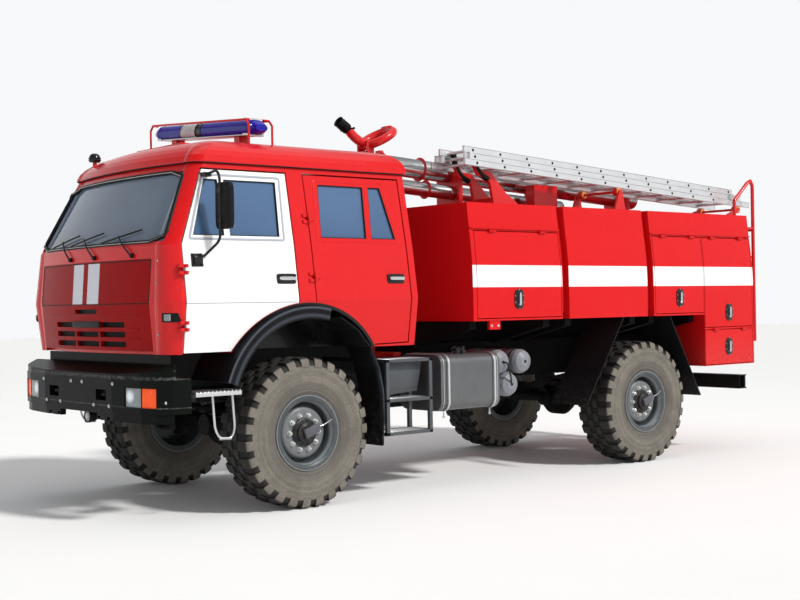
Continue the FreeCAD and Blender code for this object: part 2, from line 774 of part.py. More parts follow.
def cab():
    walls = cab_block(0, cab_bottom, cab_eaves).cut(cab_block(cab_wall, cab_bottom - 1, cab_eaves + 1))
    panel_zone = box(-front_panel_half, front_panel_half, at(-1500), at(cab_side_front), cab_bottom - 1, front_panel_top)
    front_panel = walls.common(panel_zone).cut(box(-1300, 1300, at(-1500), at(-1000), cab_bottom - 2, front_panel_bottom))
    for row in range(3):
        z = grille_bottom + grille_pitch * row
        for low, high in ((-600, -222), (-195, 195), (222, 600)):
            front_panel = front_panel.cut(box(low, high, at(-1500), at(-1150), z, z + grille_slot))
    front_panel = front_panel.cut(box(-air_slot_half, air_slot_half, at(-1500), at(-1150), air_slot_bottom, air_slot_top))
    keep("front_panel", front_panel)

    shell = walls.cut(panel_zone)
    opening = prism([(-windscreen_bottom_half, windscreen_bottom), (-windscreen_top_half, windscreen_top),
                     (windscreen_top_half, windscreen_top), (windscreen_bottom_half, windscreen_bottom)],
                    "y", at(-1500), at(-840))
    shell = shell.cut(opening)
    glass_layer = cab_block(glass_inset, windscreen_bottom - 200, cab_eaves).cut(
        cab_block(glass_inset + glass_thickness, windscreen_bottom - 201, cab_eaves + 1))
    keep("windscreen", glass_layer.common(opening).cut(box(-1300, 1300, at(-600), at(2000), 0, 4000)))

    rear_window = box(-560, 560, at(cab_rear - 100), at(cab_rear + 10), 2240, 2600)
    floor = cab_block(cab_wall - 2, cab_bottom, cab_bottom + cab_floor_thickness)
    arches = []
    liners = []
    for side in (-1, 1):
        x0, x1 = sorted((side * arch_inner_x, side * (cab_crease_half_width + 50)))
        arches.append(arch_cut(arch_radius, x0, x1))
        l0, l1 = sorted((side * (arch_inner_x - arch_liner), side * (cab_crease_half_width + 40)))
        above = cab_block(4, cab_bottom, cab_waist).common(box(-2000, 2000, at(-1100), at(cab_rear - 20), 0, 3000))
        liner = arch_cut(arch_radius + arch_liner, l0, l1).cut(arch_cut(arch_radius, x0, x1)).common(above)
        liners.append(liner)
    tunnel = box(-370, 370, at(-1090), at(830), cab_bottom - 1, 1290 + 400)
    tunnel_cover = box(-390, 390, at(-1080), at(850), cab_bottom, 1710).cut(tunnel)
    floor = join([floor] + liners + [tunnel_cover])
    for cut in arches + [tunnel]:
        floor = floor.cut(cut)
        shell = shell.cut(cut)
    shell = join([shell, floor])
    front_outline, rear_outline = door_outlines(0)
    for outline in door_outlines(door_far_gap):
        grown = widened(outline, door_gap)
        for side in (-1, 1):
            x0, x1 = sorted((side * (cab_half_width - 250), side * (cab_crease_half_width + 50)))
            shell = shell.cut(prism(grown, "x", x0, x1).cut(arch_cut(arch_radius + arch_liner + door_gap, x0 - 1, x1 + 1)))

    hung = {}
    for label, outline, windows, front_edge, heights, handle_y in (
            ("front", front_outline, (front_quarter_points, front_window_points), front_door_front,
             front_hinge_heights, front_handle_y),
            ("rear", rear_outline, (rear_window_points, rear_quarter_points), rear_door_front,
             rear_hinge_heights, rear_handle_y)):
        leaf = walls.common(prism(outline, "x", 800, 1300)).cut(arch_cut(arch_radius + arch_liner + door_gap, 500, 1300))
        panes = []
        for points in windows:
            cutter = prism(behind_axle(points), "x", 800, 1300)
            leaf = leaf.cut(cutter)
            panes.append(glass_layer_side(cutter))
        face = cab_side_x(door_handle_height)
        leaf = join([leaf, box(face - 12, face + 8, at(handle_y - 80), at(handle_y + 80), door_handle_height - 34,
                               door_handle_height + 30),
                     box(face - 12, face + 30, at(handle_y - 70), at(handle_y + 60), door_handle_height - 10,
                         door_handle_height + 14)])
        y = at(front_edge) - door_gap / 2
        pins = [vec(cab_crease_half_width + hinge_barrel_radius if label == "front" else cab_side_x(z) + rear_hinge_out, y, z)
                for z in heights]
        along = (pins[1] - pins[0]).normalize()
        outward = vec(along.z, 0, -along.x)
        fixed_halves = []
        for pin in pins:
            depth = pin.x - hinge_barrel_radius - cab_side_x(pin.z) + 10
            fixed, moving = hinge_pair(pin, along, vec(0, -1, 0), outward, depth=depth)
            fixed_halves.append(fixed)
            leaf = join([leaf, moving])
        hung[label] = (leaf, Part.Compound(panes), fixed_halves)
    for label, (leaf, panes, fixed_halves) in hung.items():
        for side, flip in (("left", False), ("right", True)):
            keep(f"cab_door_{label}_{side}", mirrored(leaf) if flip else leaf)
            keep(f"door_glass_{label}_{side}", mirrored(panes) if flip else panes)
            shell = join([shell] + [mirrored(f) if flip else f for f in fixed_halves])
    shell = shell.cut(rear_window)
    mounts = [box(x - 60, x + 60, at(y) - 60, at(y) + 60, rail_bottom + rail_height, cab_bottom)
              for x in (-375, 375) for y in (-1060, 1100)]
    keep("cab_shell", join([shell] + mounts).cut(nodes["front_panel"]))


def glass_layer_side(cutter):
    """A pane of the side glass inside one window opening."""
    layer = cab_block(glass_inset, window_bottom - 100, cab_eaves).cut(
        cab_block(glass_inset + glass_thickness, window_bottom - 101, cab_eaves + 1))
    return layer.common(cutter)


def cab_roof():
    def level(z, narrow, back, lean):
        return plan_wire(cab_top_half_width + roof_lip - narrow, top_side_front - roof_lip + back,
                         top_edge_x + roof_lip - narrow, top_edge_front - roof_lip + back, top_nose - roof_lip + back,
                         cab_rear + 30 - lean, z)
    heights = [(cab_eaves, 0, 0, 0)]
    for index in range(roof_levels + 1):
        angle = math.radians(90 * index / roof_levels)
        drawn_in = 1 - math.cos(angle)
        heights.append((cab_eaves + roof_edge + (roof_top - cab_eaves - roof_edge) * math.sin(angle), roof_draw_side * drawn_in,
                        roof_draw_front * drawn_in ** 0.75, roof_draw_rear * drawn_in))
    outer = Part.makeLoft([level(*h) for h in heights], True, True)
    last = len(heights) - 1
    inner = Part.makeLoft([level(z - (roof_wall * i / last) - (1 if i == 0 else 0), n + roof_wall, b + roof_wall, e + roof_wall)
                           for i, (z, n, b, e) in enumerate(heights)], True, True)
    roof = outer.cut(inner)
    bars = []
    for y in (guard_front_y, guard_rear_y):
        foot = surface_height(roof, guard_half, at(y)) - roof_wall / 2
        rise = math.tan(math.radians(roof_gear_lean)) * guard_half
        points = [vec(-guard_half, at(y), foot), vec(-guard_half, at(y), guard_top - 45 + rise),
                  vec(-guard_half + 45, at(y), guard_top + rise), vec(guard_half - 45, at(y), guard_top - rise),
                  vec(guard_half, at(y), guard_top - 45 - rise), vec(guard_half, at(y), foot)]
        bars.append(bent_bar(points, guard_bar_radius))
    for x in (-guard_half + 60, guard_half - 60):
        z = guard_top - x * math.tan(math.radians(roof_gear_lean))
        bars.append(rod(vec(x, at(guard_front_y), z), vec(x, at(guard_rear_y), z), guard_bar_radius))
    hatch = box(-380, 380, at(-650), at(-370), roof_top - 45, roof_top + 20)
    bar = light_bar()
    brackets = [box(x - 40, x + 40, at(light_bar_y - 45), at(light_bar_y + 45), roof_top - 20, light_bar_bottom + 60)
                for x in (-520, 520)]
    foot = vec(siren_x, at(siren_y), surface_height(roof, siren_x, at(siren_y)))
    siren_post = rod(foot - vec(0, 0, roof_wall / 2), foot + vec(0, 0, siren_lift), 18)
    keep("cab_roof", join([roof, hatch, siren_post] + bars + brackets).cut(inner_void()).cut(bar))
    profile = [(0, 0), (44, 0), (56, 22), (55, 42), (44, 64), (24, 78), (0, 82)]
    base = siren_lift + seat_gap
    siren = flat_face([foot + vec(r, 0, z + base) for r, z in profile]).revolve(foot, vec(0, 0, 1), 360)
    keep("roof_siren", siren)


def light_bar():
    """The blue lamp housing across the roof, leaning as its guard does."""
    outline = [(light_bar_y - 80, light_bar_bottom), (light_bar_y - 95, light_bar_bottom + 40),
               (light_bar_y - 68, light_bar_top), (light_bar_y + 68, light_bar_top),
               (light_bar_y + 95, light_bar_bottom + 40), (light_bar_y + 80, light_bar_bottom)]
    bar = prism(behind_axle(outline), "x", -light_bar_half, light_bar_half)
    for side in (-1, 1):
        end = side * light_bar_half
        corner = prism([(end, light_bar_bottom - 1), (end, light_bar_bottom + 45), (end - side * 70, light_bar_bottom - 1)],
                       "y", at(light_bar_y - 200), at(light_bar_y + 200))
        bar = bar.cut(corner)
    bar.rotate(vec(0, 0, (light_bar_bottom + light_bar_top) / 2), vec(0, 1, 0), roof_gear_lean)
    keep("light_bar", bar)
    return bar


def surface_height(shape, x, y):
    """How high a shape's top is above one place on the ground plan."""
    probe = Part.makeLine(vec(x, y, 0), vec(x, y, 5000))
    return max(v.Z for v in shape.common(probe).Vertexes)


def inner_void():
    """The space under the roof that its fittings must not reach into."""
    return box(-800, 800, at(-500), at(1000), cab_eaves - 10, roof_top - roof_wall - 2)


def cab_fittings():
    seats = []
    for x in (-620.0, 620.0):
        seats.append(seat(x, 480.0, -420.0, 520.0))
    seats.append(seat(0.0, 1900.0, 560.0, 480.0))
    keep("seats", Part.Compound(seats))
    dash_top = cab_waist - 15
    dash = prism(behind_axle([(-1120, dash_top - 345), (-1130, dash_top - 25), (-1060, dash_top), (-900, dash_top - 45),
                              (-880, dash_top - 145), (-960, dash_top - 345)]), "x", -1080, 1080)
    hub = vec(620, at(-800), dash_top - 20)
    column = rod(hub - vec(0, 150, 305), hub, 28)
    wheel = Part.makeTorus(225, 14, hub, vec(0, -0.45, 0.9))
    spokes = [rod(hub - vec(220, 0, 0), hub + vec(220, 0, 0), 11)]
    legs = [box(x - 25, x + 25, at(-1060), at(-1000), cab_bottom + cab_floor_thickness, dash_top - 335)
            for x in (-500, 500)]
    keep("dashboard", join([dash, column, wheel] + spokes + legs).cut(nodes["cab_shell"]))


def seat(x, width, y, height):
    """A seat with its base, cushion and back, standing on the cab floor."""
    floor = cab_bottom + cab_floor_thickness
    top = floor + height - 60
    base_front, base_back = y - 30, y + 330
    half = 560.0
    if width < 1000:
        floor, top, half = cab_bottom + 215, cab_bottom + 645, width / 2 - 40
    parts = [box(x - half, x + half, at(base_front + 30), at(base_back), floor, top - 100),
             box(x - width / 2, x + width / 2, at(base_front - 60), at(base_back + 20), top - 100, top),
             prism(behind_axle([(base_back - 60, top), (base_back + 60, top), (base_back + 110, top + 560),
                                (base_back + 20, top + 560)]), "x", x - width / 2 + 10, x + width / 2 - 10)]
    if width > 1000:
        return join(parts).cut(box(-391, 391, at(-1090), at(851), cab_bottom, 1711))
    return join(parts).cut(arch_cut(arch_radius + arch_liner, x - width, x + width))


def mirrors():
    """The door mirror: a tall head on a bent arm held at two brackets."""
    face = cab_half_width
    middle = vec(1304, at(-818), 0)
    half, depth = mirror_width / 2, mirror_depth / 2
    head = box(-half, half, -depth, depth, 2235, 2595)
    head = head.makeFillet(mirror_depth * 0.4, head.Edges)
    head.rotate(vec(0, 0, 0), vec(0, 0, 1), mirror_turn)
    head.translate(middle)
    pole_x, pole_y = middle.x - 19, middle.y - depth - 4
    arm = bent_bar([vec(face + 24, at(-1000), 2010), vec(face + 60, at(-960), 2030), vec(pole_x, pole_y, 2150),
                    vec(pole_x, pole_y, 2640), vec(pole_x - 40, pole_y, 2690), vec(1085, pole_y, 2668)], 11)
    foot = box(face, face + 38, at(-1045), at(-950), 1955, 2050)
    upper = box(1035, 1122, at(-880), at(-820), 2652, 2684)
    mirror = join([head, arm, foot, upper])
    mirror = mirror.cut(nodes["cab_door_front_left"])
    keep("mirror_left", mirror)
    keep("mirror_right", mirrored(mirror))


# Body behind the cab

def body_section(inset, bottom=None):
    """The body's half outline from the floor to its roof edge, both sides, set in by inset."""
    low = body_bottom if bottom is None else bottom
    right = [(body_half_width, low), (body_half_width, body_fold), (1243, 2000), (1222, 2200), (1205, gutter_height),
             (body_top_half_width, body_top)]
    right = [(x - inset, z) for x, z in right]
    right[0] = (right[0][0], low + (inset if bottom is None else 0))
    right[-1] = (right[-1][0], body_top - inset)
    return right + [(-x, z) for x, z in reversed(right)]


def body_block(inset, front, rear):
    return prism(body_section(inset), "y", at(front), at(rear))


def skin(front, rear, bottom, top):
    """The left side's skin between two places and two heights, as thick as a locker door."""
    outer = prism(body_section(0, low_locker_bottom), "y", at(front), at(rear))
    inner = prism(body_section(locker_door_thickness, low_locker_bottom - 1), "y", at(front) - 1, at(rear) + 1)
    return outer.cut(inner).common(box(0, 2000, at(front), at(rear), bottom, top))


def skin_x(z):
    """How far out the body's side is at a height."""
    points = body_section(0)[:6]
    for (x0, z0), (x1, z1) in zip(points, points[1:]):
        if z0 <= z <= z1:
            return x0 + (x1 - x0) * (z - z0) / (z1 - z0)
    return body_half_width


def side_door(name, front, rear, bottom, top, handle_y, handle_z):
    """A lift-up locker door on both sides. Returns the opening cutters and the fixed hinge halves."""
    face = skin_x(handle_z)
    leaf = join([skin(front, rear, bottom, top),
                 box(face - 6, face + 6, at(handle_y - 45), at(handle_y + 45), handle_z - 72, handle_z + 72),
                 box(face - 6, face + 24, at(handle_y - 9), at(handle_y + 9), handle_z - 52, handle_z + 52)])
    axis_x = skin_x(top) + hinge_barrel_radius
    fixed_halves = []
    span = rear - front
    for share in (0.2, 0.8):
        pin = vec(axis_x, at(front + span * share), top + locker_door_gap / 2)
        fixed, moving = hinge_pair(pin, vec(0, 1, 0), vec(0, 0, 1), vec(1, 0, 0), 14, 34)
        fixed_halves.append(fixed)
        leaf = join([leaf, moving])
    opening = box(900, 1400, at(front - locker_door_gap), at(rear + locker_door_gap), bottom - locker_door_gap,
                  top + locker_door_gap)
    keep(f"{name}_left", leaf)
    keep(f"{name}_right", mirrored(leaf))
    return opening, fixed_halves


def body():
    front = body_block(0, front_locker_front, front_locker_rear).cut(
        body_block(body_wall, front_locker_front + body_wall, front_locker_rear - body_wall))
    opening, halves = side_door("front_locker_door", front_locker_front + 52, front_locker_rear - 16,
                                locker_door_bottom, locker_door_top, 2373, 1669)
    front = finish_locker(front, [opening], halves, front_locker_front, front_locker_rear)
    tab = box(body_half_width - 40, body_half_width - 10, at(2005), at(2140), body_bottom - 80, body_bottom + 1)
    keep("front_locker", join([front] + both_sides(tab)))

    core = body_block(tank_recess, front_locker_rear, rear_locker_front)
    hull = body_block(0, tank_front, tank_rear)
    hatch = Part.makeCylinder(230, 60, vec(-350, at((tank_front + tank_rear) / 2), body_top - 5), vec(0, 0, 1))
    keep("water_tank", join([core, hull, hatch]))

    rear = body_block(0, rear_locker_front, rear_locker_rear).cut(
        body_block(body_wall, rear_locker_front + body_wall, rear_locker_rear - body_wall))
    low = []
    for side in (-1, 1):
        x0, x1 = sorted((side * low_locker_inner_x, side * body_half_width))
        i0, i1 = sorted((side * (low_locker_inner_x + body_wall), side * (body_half_width - body_wall)))
        low.append(box(x0, x1, at(low_locker_front), at(rear_locker_rear), low_locker_bottom, body_bottom).cut(
            box(i0, i1, at(low_locker_front + body_wall), at(rear_locker_rear - body_wall),
                low_locker_bottom + body_wall, body_bottom + 1)))
    rear = join([rear] + low)
    openings = []
    all_halves = []
    for name, f, r, b, t, y, z in (
            ("rear_locker_door_a", rear_locker_front + locker_post - 6, divide_front - 5, locker_door_bottom,
             locker_door_top, 4717, 1659),
            ("rear_locker_door_b", divide_front + 18, rear_locker_rear - 24, low_door_top + 32, locker_door_top,
             5546, 1495),
            ("low_locker_door", divide_front + 18, rear_locker_rear - 24, low_door_bottom, low_door_top, 5536, 1129)):
        opening, halves = side_door(name, f, r, b, t, y, z)
        openings.append(opening)
        all_halves += halves
    rear = finish_locker(rear, openings, all_halves, rear_locker_front, rear_locker_rear)
    gap = locker_door_gap
    rear = rear.cut(box(-back_door_half - gap, back_door_half + gap, at(rear_locker_rear - 60), at(rear_locker_rear + 10),
                        back_door_bottom - gap, back_door_top + gap))
    back = box(-back_door_half, back_door_half, at(rear_locker_rear - body_wall), at(rear_locker_rear), back_door_bottom,
               back_door_top)
    for x in (-450, 450):
        pin = vec(x, at(rear_locker_rear) + hinge_barrel_radius, back_door_top + gap / 2)
        fixed, moving = hinge_pair(pin, vec(1, 0, 0), vec(0, 0, 1), vec(0, 1, 0), 40, 40)
        rear = join([rear, fixed])
        back = join([back, moving])
    keep("rear_locker", rear)
    keep("back_door", back)


def finish_locker(shell, openings, halves, front, rear):
    """Cuts the side doors' openings, then adds the gutter over them and the fixed hinge halves."""
    for opening in openings:
        for cut in both_sides(opening):
            shell = shell.cut(cut)
    x = skin_x(gutter_height)
    gutter = box(x - 20, x + gutter_reach, at(front), at(rear), gutter_height, gutter_height + gutter_thickness)
    return join([shell] + both_sides(gutter) + [piece for half in halves for piece in both_sides(half)])


# Tanks, steps and mudguards

def rounded_bar(x0, x1, y0, y1, z0, z1, radius):
    block = box(x0, x1, y0, y1, z0, z1)
    long_edges = [e for e in block.Edges if abs(abs(e.tangentAt(e.FirstParameter).y) - 1) < 1e-6]
    return block.makeFillet(radius, long_edges)


def side_equipment():
    tank = rounded_bar(fuel_tank_inner_x, fuel_tank_outer_x, at(tank_start), at(tank_end), fuel_tank_bottom,
                       fuel_tank_top, fuel_tank_round)
    cap = rod(vec(1040, at(1780), fuel_tank_top - 20), vec(1075, at(1780), fuel_tank_top + 40), 52)
    hangers = [box(rail_outer_x, fuel_tank_inner_x + 10, at(y) - 25, at(y) + 25, rail_bottom + 30, rail_bottom + 90)
               for y in (1540, 2080)]
    straps = [rounded_bar(fuel_tank_inner_x, fuel_tank_outer_x + 6, at(y) - 25, at(y) + 25, fuel_tank_bottom - 6,
                          fuel_tank_top + 6, fuel_tank_round + 6) for y in (1530, 2090)]
    keep("fuel_tank", join([tank, cap] + straps + hangers))
    tanks = []
    run = air_tank_outer_x - air_tank_inner_x
    r = air_tank_radius
    profile = [(0, 0), (0, r), (run, r), (run + 0.6 * air_tank_dome, 0.84 * r), (run + air_tank_dome, 0.4 * r),
               (run + air_tank_dome, 0)]
    for y, z in air_tank_places:
        tank = wheel_profile(profile, air_tank_inner_x)
        tank.translate(vec(0, at(y), z))
        tanks.append(tank)
    plate = box(505, 525, at(2215), at(2735), 765, 1195)
    rack = box(rail_outer_x, 520, at(2290), at(2680), 930, 1010)
    keep("air_tanks", join(tanks + [plate, rack]).cut(nodes["frame_rails"]))
    battery = box(-1190, -640, at(1440), at(2100), 720, 1160)
    arms = [box(-650, -rail_outer_x, at(y) - 30, at(y) + 30, 930, 990) for y in (1560, 1980)]
    keep("battery_box", join([battery] + arms))


def steps():
    """Entry steps for the crew doors, and the low steps behind the bumper."""
    bar = step_bar
    posts = [box(step_outer_x - bar, step_outer_x, at(y), at(y + bar), step_bottom, step_top)
             for y in (step_front, step_rear - bar)]
    posts += [box(step_inner_x, step_inner_x + bar, at(y), at(y + bar), step_bottom, step_top)
              for y in (step_front, step_rear - bar)]
    treads = [box(step_inner_x, step_outer_x, at(step_front), at(step_rear), z, z + 28)
              for z in (step_bottom, (step_bottom + step_top) / 2 - 40, step_top - 28)]
    reach = [box(rail_outer_x, step_inner_x + 5, at(y), at(y + bar), rail_bottom + 120, rail_bottom + 160)
             for y in (step_front, step_rear - bar)]
    case = prism(behind_axle([(step_front + 45, step_top - 20), (step_rear - 45, step_top - 20), (step_rear - 110, 880),
                              (step_front + 45, 860)]), "x", step_inner_x + 8, step_outer_x - 85)
    stair = join(posts + treads + reach + [case])
    tread = box(990, 1225, at(-1050), at(-640), 960, 1000)
    loop = bent_bar([vec(1150, at(-860), 965), vec(1150, at(-840), 700), vec(1150, at(-800), 625),
                     vec(1150, at(-690), 620), vec(1150, at(-660), 700), vec(1150, at(-680), 965)], 9)
    bracket = box(rail_outer_x, 1000, at(-1040), at(-990), 970, 1000)
    low = join([tread, loop, bracket])
    keep("steps", Part.Compound(both_sides(stair) + both_sides(low)))


def ring_sector(radius, wall, x0, x1, start, end):
    """Part of a ring about the wheel arch's centre. Angles are degrees from straight up, backwards positive."""
    ring = arch_cut(radius, x0, x1).cut(arch_cut(radius - wall, x0 - 1, x1 + 1))
    far = 3 * radius
    points = [(at(arch_y), arch_z)]
    steps_count = 6
    for i in range(steps_count + 1):
        a = math.radians(start + (end - start) * i / steps_count)
        points.append((at(arch_y) + far * math.sin(a), arch_z + far * math.cos(a)))
    return ring.common(prism(points, "x", x0 - 2, x1 + 2))


def strip(places, thickness, x0, x1):
    """A bent sheet across the vehicle, along side-view places behind the front axle, thickened forwards."""
    back = [(a - thickness, b - thickness * 0.4) for a, b in places]
    return prism(behind_axle(list(places) + back[::-1]), "x", x0, x1)


def mudguards():
    outer = arch_radius - seat_gap
    rim_flare = ring_sector(outer, flare_width, flare_inner_x, flare_outer_x, -72, 14)
    hollow = ring_sector(outer - flare_wall, flare_width, flare_inner_x - 1, flare_outer_x - flare_wall, -80, 20)
    flare = rim_flare.cut(hollow)
    liner = ring_sector(arch_radius - seat_gap, 12, 700, flare_inner_x + 2, -72, 14)
    tail = strip(((345, 1545), (520, 1440), (655, 1290), (745, 1110), (788, 900), (792, 680), (775, 450)),
                 rear_guard_thickness, 880, 1215)
    brace = box(rail_outer_x, 900, at(690), at(730), 1150, 1185)
    front = join([flare, liner])
    rear_guards = []
    for top, bottom in ((3835, 3270), (4565, 5050)):
        lean = 1 if bottom > top else -1
        t = rear_guard_thickness
        outline = [(top, rear_guard_top), (top - lean * t, rear_guard_top), (bottom - lean * t, rear_guard_bottom),
                   (bottom, rear_guard_bottom)]
        rear_guards.append(prism(behind_axle(outline), "x", rear_guard_inner_x, body_half_width - 6))
    pieces = [front, join([tail, brace])] + rear_guards
    keep("mudguards", Part.Compound([p for piece in pieces for p in both_sides(piece)]))


# Roof equipment

def monitor():
    y = at(monitor_y)
    riser = join([rod(vec(0, y, rail_bottom + 170), vec(0, y, monitor_base_top - 60), monitor_pipe_radius),
                  rod(vec(0, y, monitor_base_top - 84), vec(0, y, monitor_base_top - 60), 92),
                  box(-70, 70, y - 30, at(front_locker_front), 2350, 2400),
                  box(-rail_outer_x + 5, rail_outer_x - 5, y - 45, y + 45, rail_bottom + rail_height - 60,
                      rail_bottom + rail_height + 40)])
    keep("monitor_riser", riser.cut(nodes["frame_rails"]).cut(nodes["driveline"]))
    low = monitor_base_top - 60 + hinge_clearance
    axle = low + monitor_axle_height
    inner, outer = monitor_fork_inner, monitor_fork_outer
    parts = [rod(vec(0, y, low), vec(0, y, low + 20), 88), rod(vec(0, y, low), vec(0, y, low + 50), 58),
             box(-outer, outer, y - 42, y + 42, low + 38, low + 60),
             rod(vec(-outer, y, axle), vec(outer, y, axle), monitor_axle_radius)]
    for side in (-1, 1):
        x0, x1 = sorted((side * inner, side * outer))
        parts += [box(x0, x1, y - 42, y + 42, low + 38, axle), rod(vec(x0, y, axle), vec(x1, y, axle), 42)]
    tilt = math.radians(monitor_loop_tilt)
    loop = Part.makeTorus(monitor_loop_radius, monitor_loop_tube, vec(0, y + 145, axle + 70),
                          vec(0, -math.sin(tilt), math.cos(tilt)))
    parts.append(loop.cut(rod(vec(-inner, y, axle), vec(inner, y, axle), 80)))
    keep("monitor_body", join(parts))
    direction = vec(0, -math.cos(math.radians(nozzle_angle)), math.sin(math.radians(nozzle_angle)))
    root = vec(0, y, axle)
    barrel = rod(root, root + direction * (nozzle_length - 90), nozzle_pipe_radius)
    tip = rod(root + direction * (nozzle_length - 130), root + direction * nozzle_length, nozzle_tip_radius)
    eye = rod(vec(5 - inner, y, axle), vec(inner - 5, y, axle), nozzle_pipe_radius + 2)
    hole = rod(vec(-outer, y, axle), vec(outer, y, axle), monitor_axle_radius + hinge_clearance)
    mouth = rod(root + direction * 90, root + direction * (nozzle_length + 10), nozzle_bore)
    bars = [rod(root + direction * 250 - vec(110, 0, 0), root + direction * 250 + vec(110, 0, 0), 9)]
    keep("monitor_nozzle", join([eye, barrel, tip] + bars).cut(hole).cut(mouth))


def ladder_place(shape):
    """Turns and moves a ladder piece, modelled level at the origin, to its sloping place."""
    shape.rotate(vec(0, 0, 0), vec(1, 0, 0), -ladder_slope_degrees)
    shape.translate(vec(0, at(ladder_front), ladder_front_height))
    return shape


def ladder():
    sections = []
    for index in range(3):
        outer = ladder_outer_x - index * ladder_section_inset
        inner = ladder_outer_x - ladder_width + index * ladder_section_inset
        z = index * ladder_section_rise
        length = ladder_length - index * 120
        begin = index * 20.0
        rails = [box(outer - ladder_rail_thickness, outer, begin, length, z, z + ladder_rail_height),
                 box(inner, inner + ladder_rail_thickness, begin, length, z, z + ladder_rail_height)]
        rungs = []
        place = 150.0
        while place < length - 60:
            rungs.append(rod(vec(inner + 5, place, z + ladder_rail_height / 2),
                             vec(outer - 5, place, z + ladder_rail_height / 2), rung_radius))
            place += rung_pitch
        sections.append(join(rails + rungs))
    ties = [box(ladder_outer_x - ladder_rail_thickness - 2 * ladder_section_inset, ladder_outer_x - 2, y, y + 40,
                ladder_rail_height - 3, ladder_rail_height + ladder_section_rise + 4)
            for y in (60, ladder_length - 340)]
    ties += [box(ladder_outer_x - ladder_width + 2, ladder_outer_x - ladder_width + ladder_rail_thickness + 2 * ladder_section_inset,
                 y, y + 40, ladder_rail_height - 3, ladder_rail_height + ladder_section_rise + 4)
             for y in (60, ladder_length - 340)]
    keep("ladder", ladder_place(join(sections + ties)))


def ladder_rack():
    """The front cradle plates and the two roller axles that the ladder lies on."""
    pieces = []
    slope = math.tan(math.radians(ladder_slope_degrees))

    def under(distance):
        return ladder_front_height - (distance - ladder_front) * slope
    near_hook, far_hook = ladder_outer_x - hook_inset - hook_width, ladder_outer_x - ladder_width + hook_inset
    for x in (near_hook, far_hook):
        lift = ladder_front_height - body_top
        f = ladder_front + hook_shift
        hook = prism(behind_axle([(f + 275, body_top), (f + 645, body_top), (f + 425, body_top + 0.38 * lift),
                                  (f + 235, under(f + 235) - 18), (f + 105, under(f + 105) - 10), (f + 50, under(f + 50) + 60),
                                  (f + 25, under(f + 25) + 170), (f, under(f) + 170), (f + 15, under(f + 15) + 30),
                                  (f + 70, under(f + 70) - 60), (f + 225, body_top + 0.63 * lift)]), "x", x, x + hook_width)
        pieces.append(hook)
    tie = box(far_hook, near_hook + hook_width, at(f + 325), at(f + 375), body_top + 40, body_top + 90)
    cradle = join(pieces + [tie])
    rollers = []
    for place in (4090.0, 6085.0):
        z = under(place) - roller_radius - seat_gap
        axle = rod(vec(ladder_outer_x - ladder_width - 60, at(place), z), vec(ladder_outer_x + 50, at(place), z), 14)
        parts = [axle]
        for x in (ladder_outer_x - ladder_width - 20, ladder_outer_x - 30):
            parts.append(rod(vec(x, at(place), z), vec(x + 60, at(place), z), roller_radius))
        back = min(place + 70, rear_locker_rear - 4)
        for x in (ladder_outer_x - ladder_width - 55, ladder_outer_x + 40):
            parts.append(prism(behind_axle([(back - 170, body_top), (back, body_top), (place + 18, z + 16), (place - 18, z + 16)]),
                               "x", x - 12, x + 12))
        rollers.append(join(parts))
    post = box(470, 590, at(3270), at(3600), body_top, under(3600) - 6)
    keep("ladder_rack", Part.Compound([cradle, post] + rollers))


def hose_tubes():
    """Two long tubes for the suction hoses, side by side on saddles."""
    tubes = []
    for x, z, radius, far in ((big_tube_x, big_tube_height, big_tube_radius, big_tube_end),
                              (small_tube_x, small_tube_height, small_tube_radius, small_tube_end)):
        start, end = vec(x, at(tube_start), z), vec(x, at(far), z - (far - tube_start) * tube_slope)
        tubes.append(rod(start, end, radius))
    saddles = []
    for place in (2420.0, 3650.0, 4900.0):
        drop = (place - tube_start) * tube_slope
        saddle = box(70, 400, at(place), at(place + 50), body_top, big_tube_height + 20 - drop)
        for t in tubes:
            saddle = saddle.cut(t)
        saddles.append(saddle)
    rack = nodes["ladder_rack"]
    keep("ladder_rack", Part.Compound(list(rack.Solids) + [solid for saddle in saddles for solid in saddle.Solids]))
    keep("hose_tubes", Part.Compound(tubes))


def access_ladder():
    """The climbing ladder on the back wall, with its curved top rail."""
    y = at(access_ladder_y)
    parts = []
    top = body_top + 400
    outer = [vec(access_ladder_x, at(5900), top - 230), vec(access_ladder_x, y - 60, top - 25), vec(access_ladder_x, y, top),
             vec(access_ladder_x, y + 35, top - 55), vec(access_ladder_x, y + 35, 1160)]
    inner = [vec(access_ladder_inner_x, y + 35, body_top - 60), vec(access_ladder_inner_x, y + 35, 1160)]
    for x, points in ((access_ladder_x, outer), (access_ladder_inner_x, inner)):
        parts.append(bent_bar(points, access_ladder_tube))
        for z in (1250, body_top - 130):
            parts.append(rod(vec(x, at(rear_locker_rear), z), vec(x, y + 35, z), 14))
    z = 1200.0
    while z < body_top - 80:
        parts.append(rod(vec(access_ladder_inner_x, y + 35, z), vec(access_ladder_x, y + 35, z), 13))
        z += access_rung_pitch
    parts.append(rod(vec(access_ladder_x, at(5900), top - 230), vec(access_ladder_x, at(5900), body_top), 16))
    keep("access_ladder", join(parts))


def main():
    wheels()
    axles()
    frame()
    driveline()
    bumper()
    cab()
    lamps()
    cab_roof()
    cab_fittings()
    mirrors()
    body()
    side_equipment()
    steps()
    mudguards()
    monitor()
    ladder()
    ladder_rack()
    hose_tubes()
    access_ladder()
    os.makedirs("parts", exist_ok=True)
    for name, shape in nodes.items():
        shape.exportStep(f"parts/{name}.step")


main()
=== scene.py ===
"""Looks of a four-wheel-drive fire engine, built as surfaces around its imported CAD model.

Metres, +Z up, the front towards -Y and the vehicle's left side towards +X.
"""
import math

import bpy
import numpy as np
from mathutils import Matrix, Vector


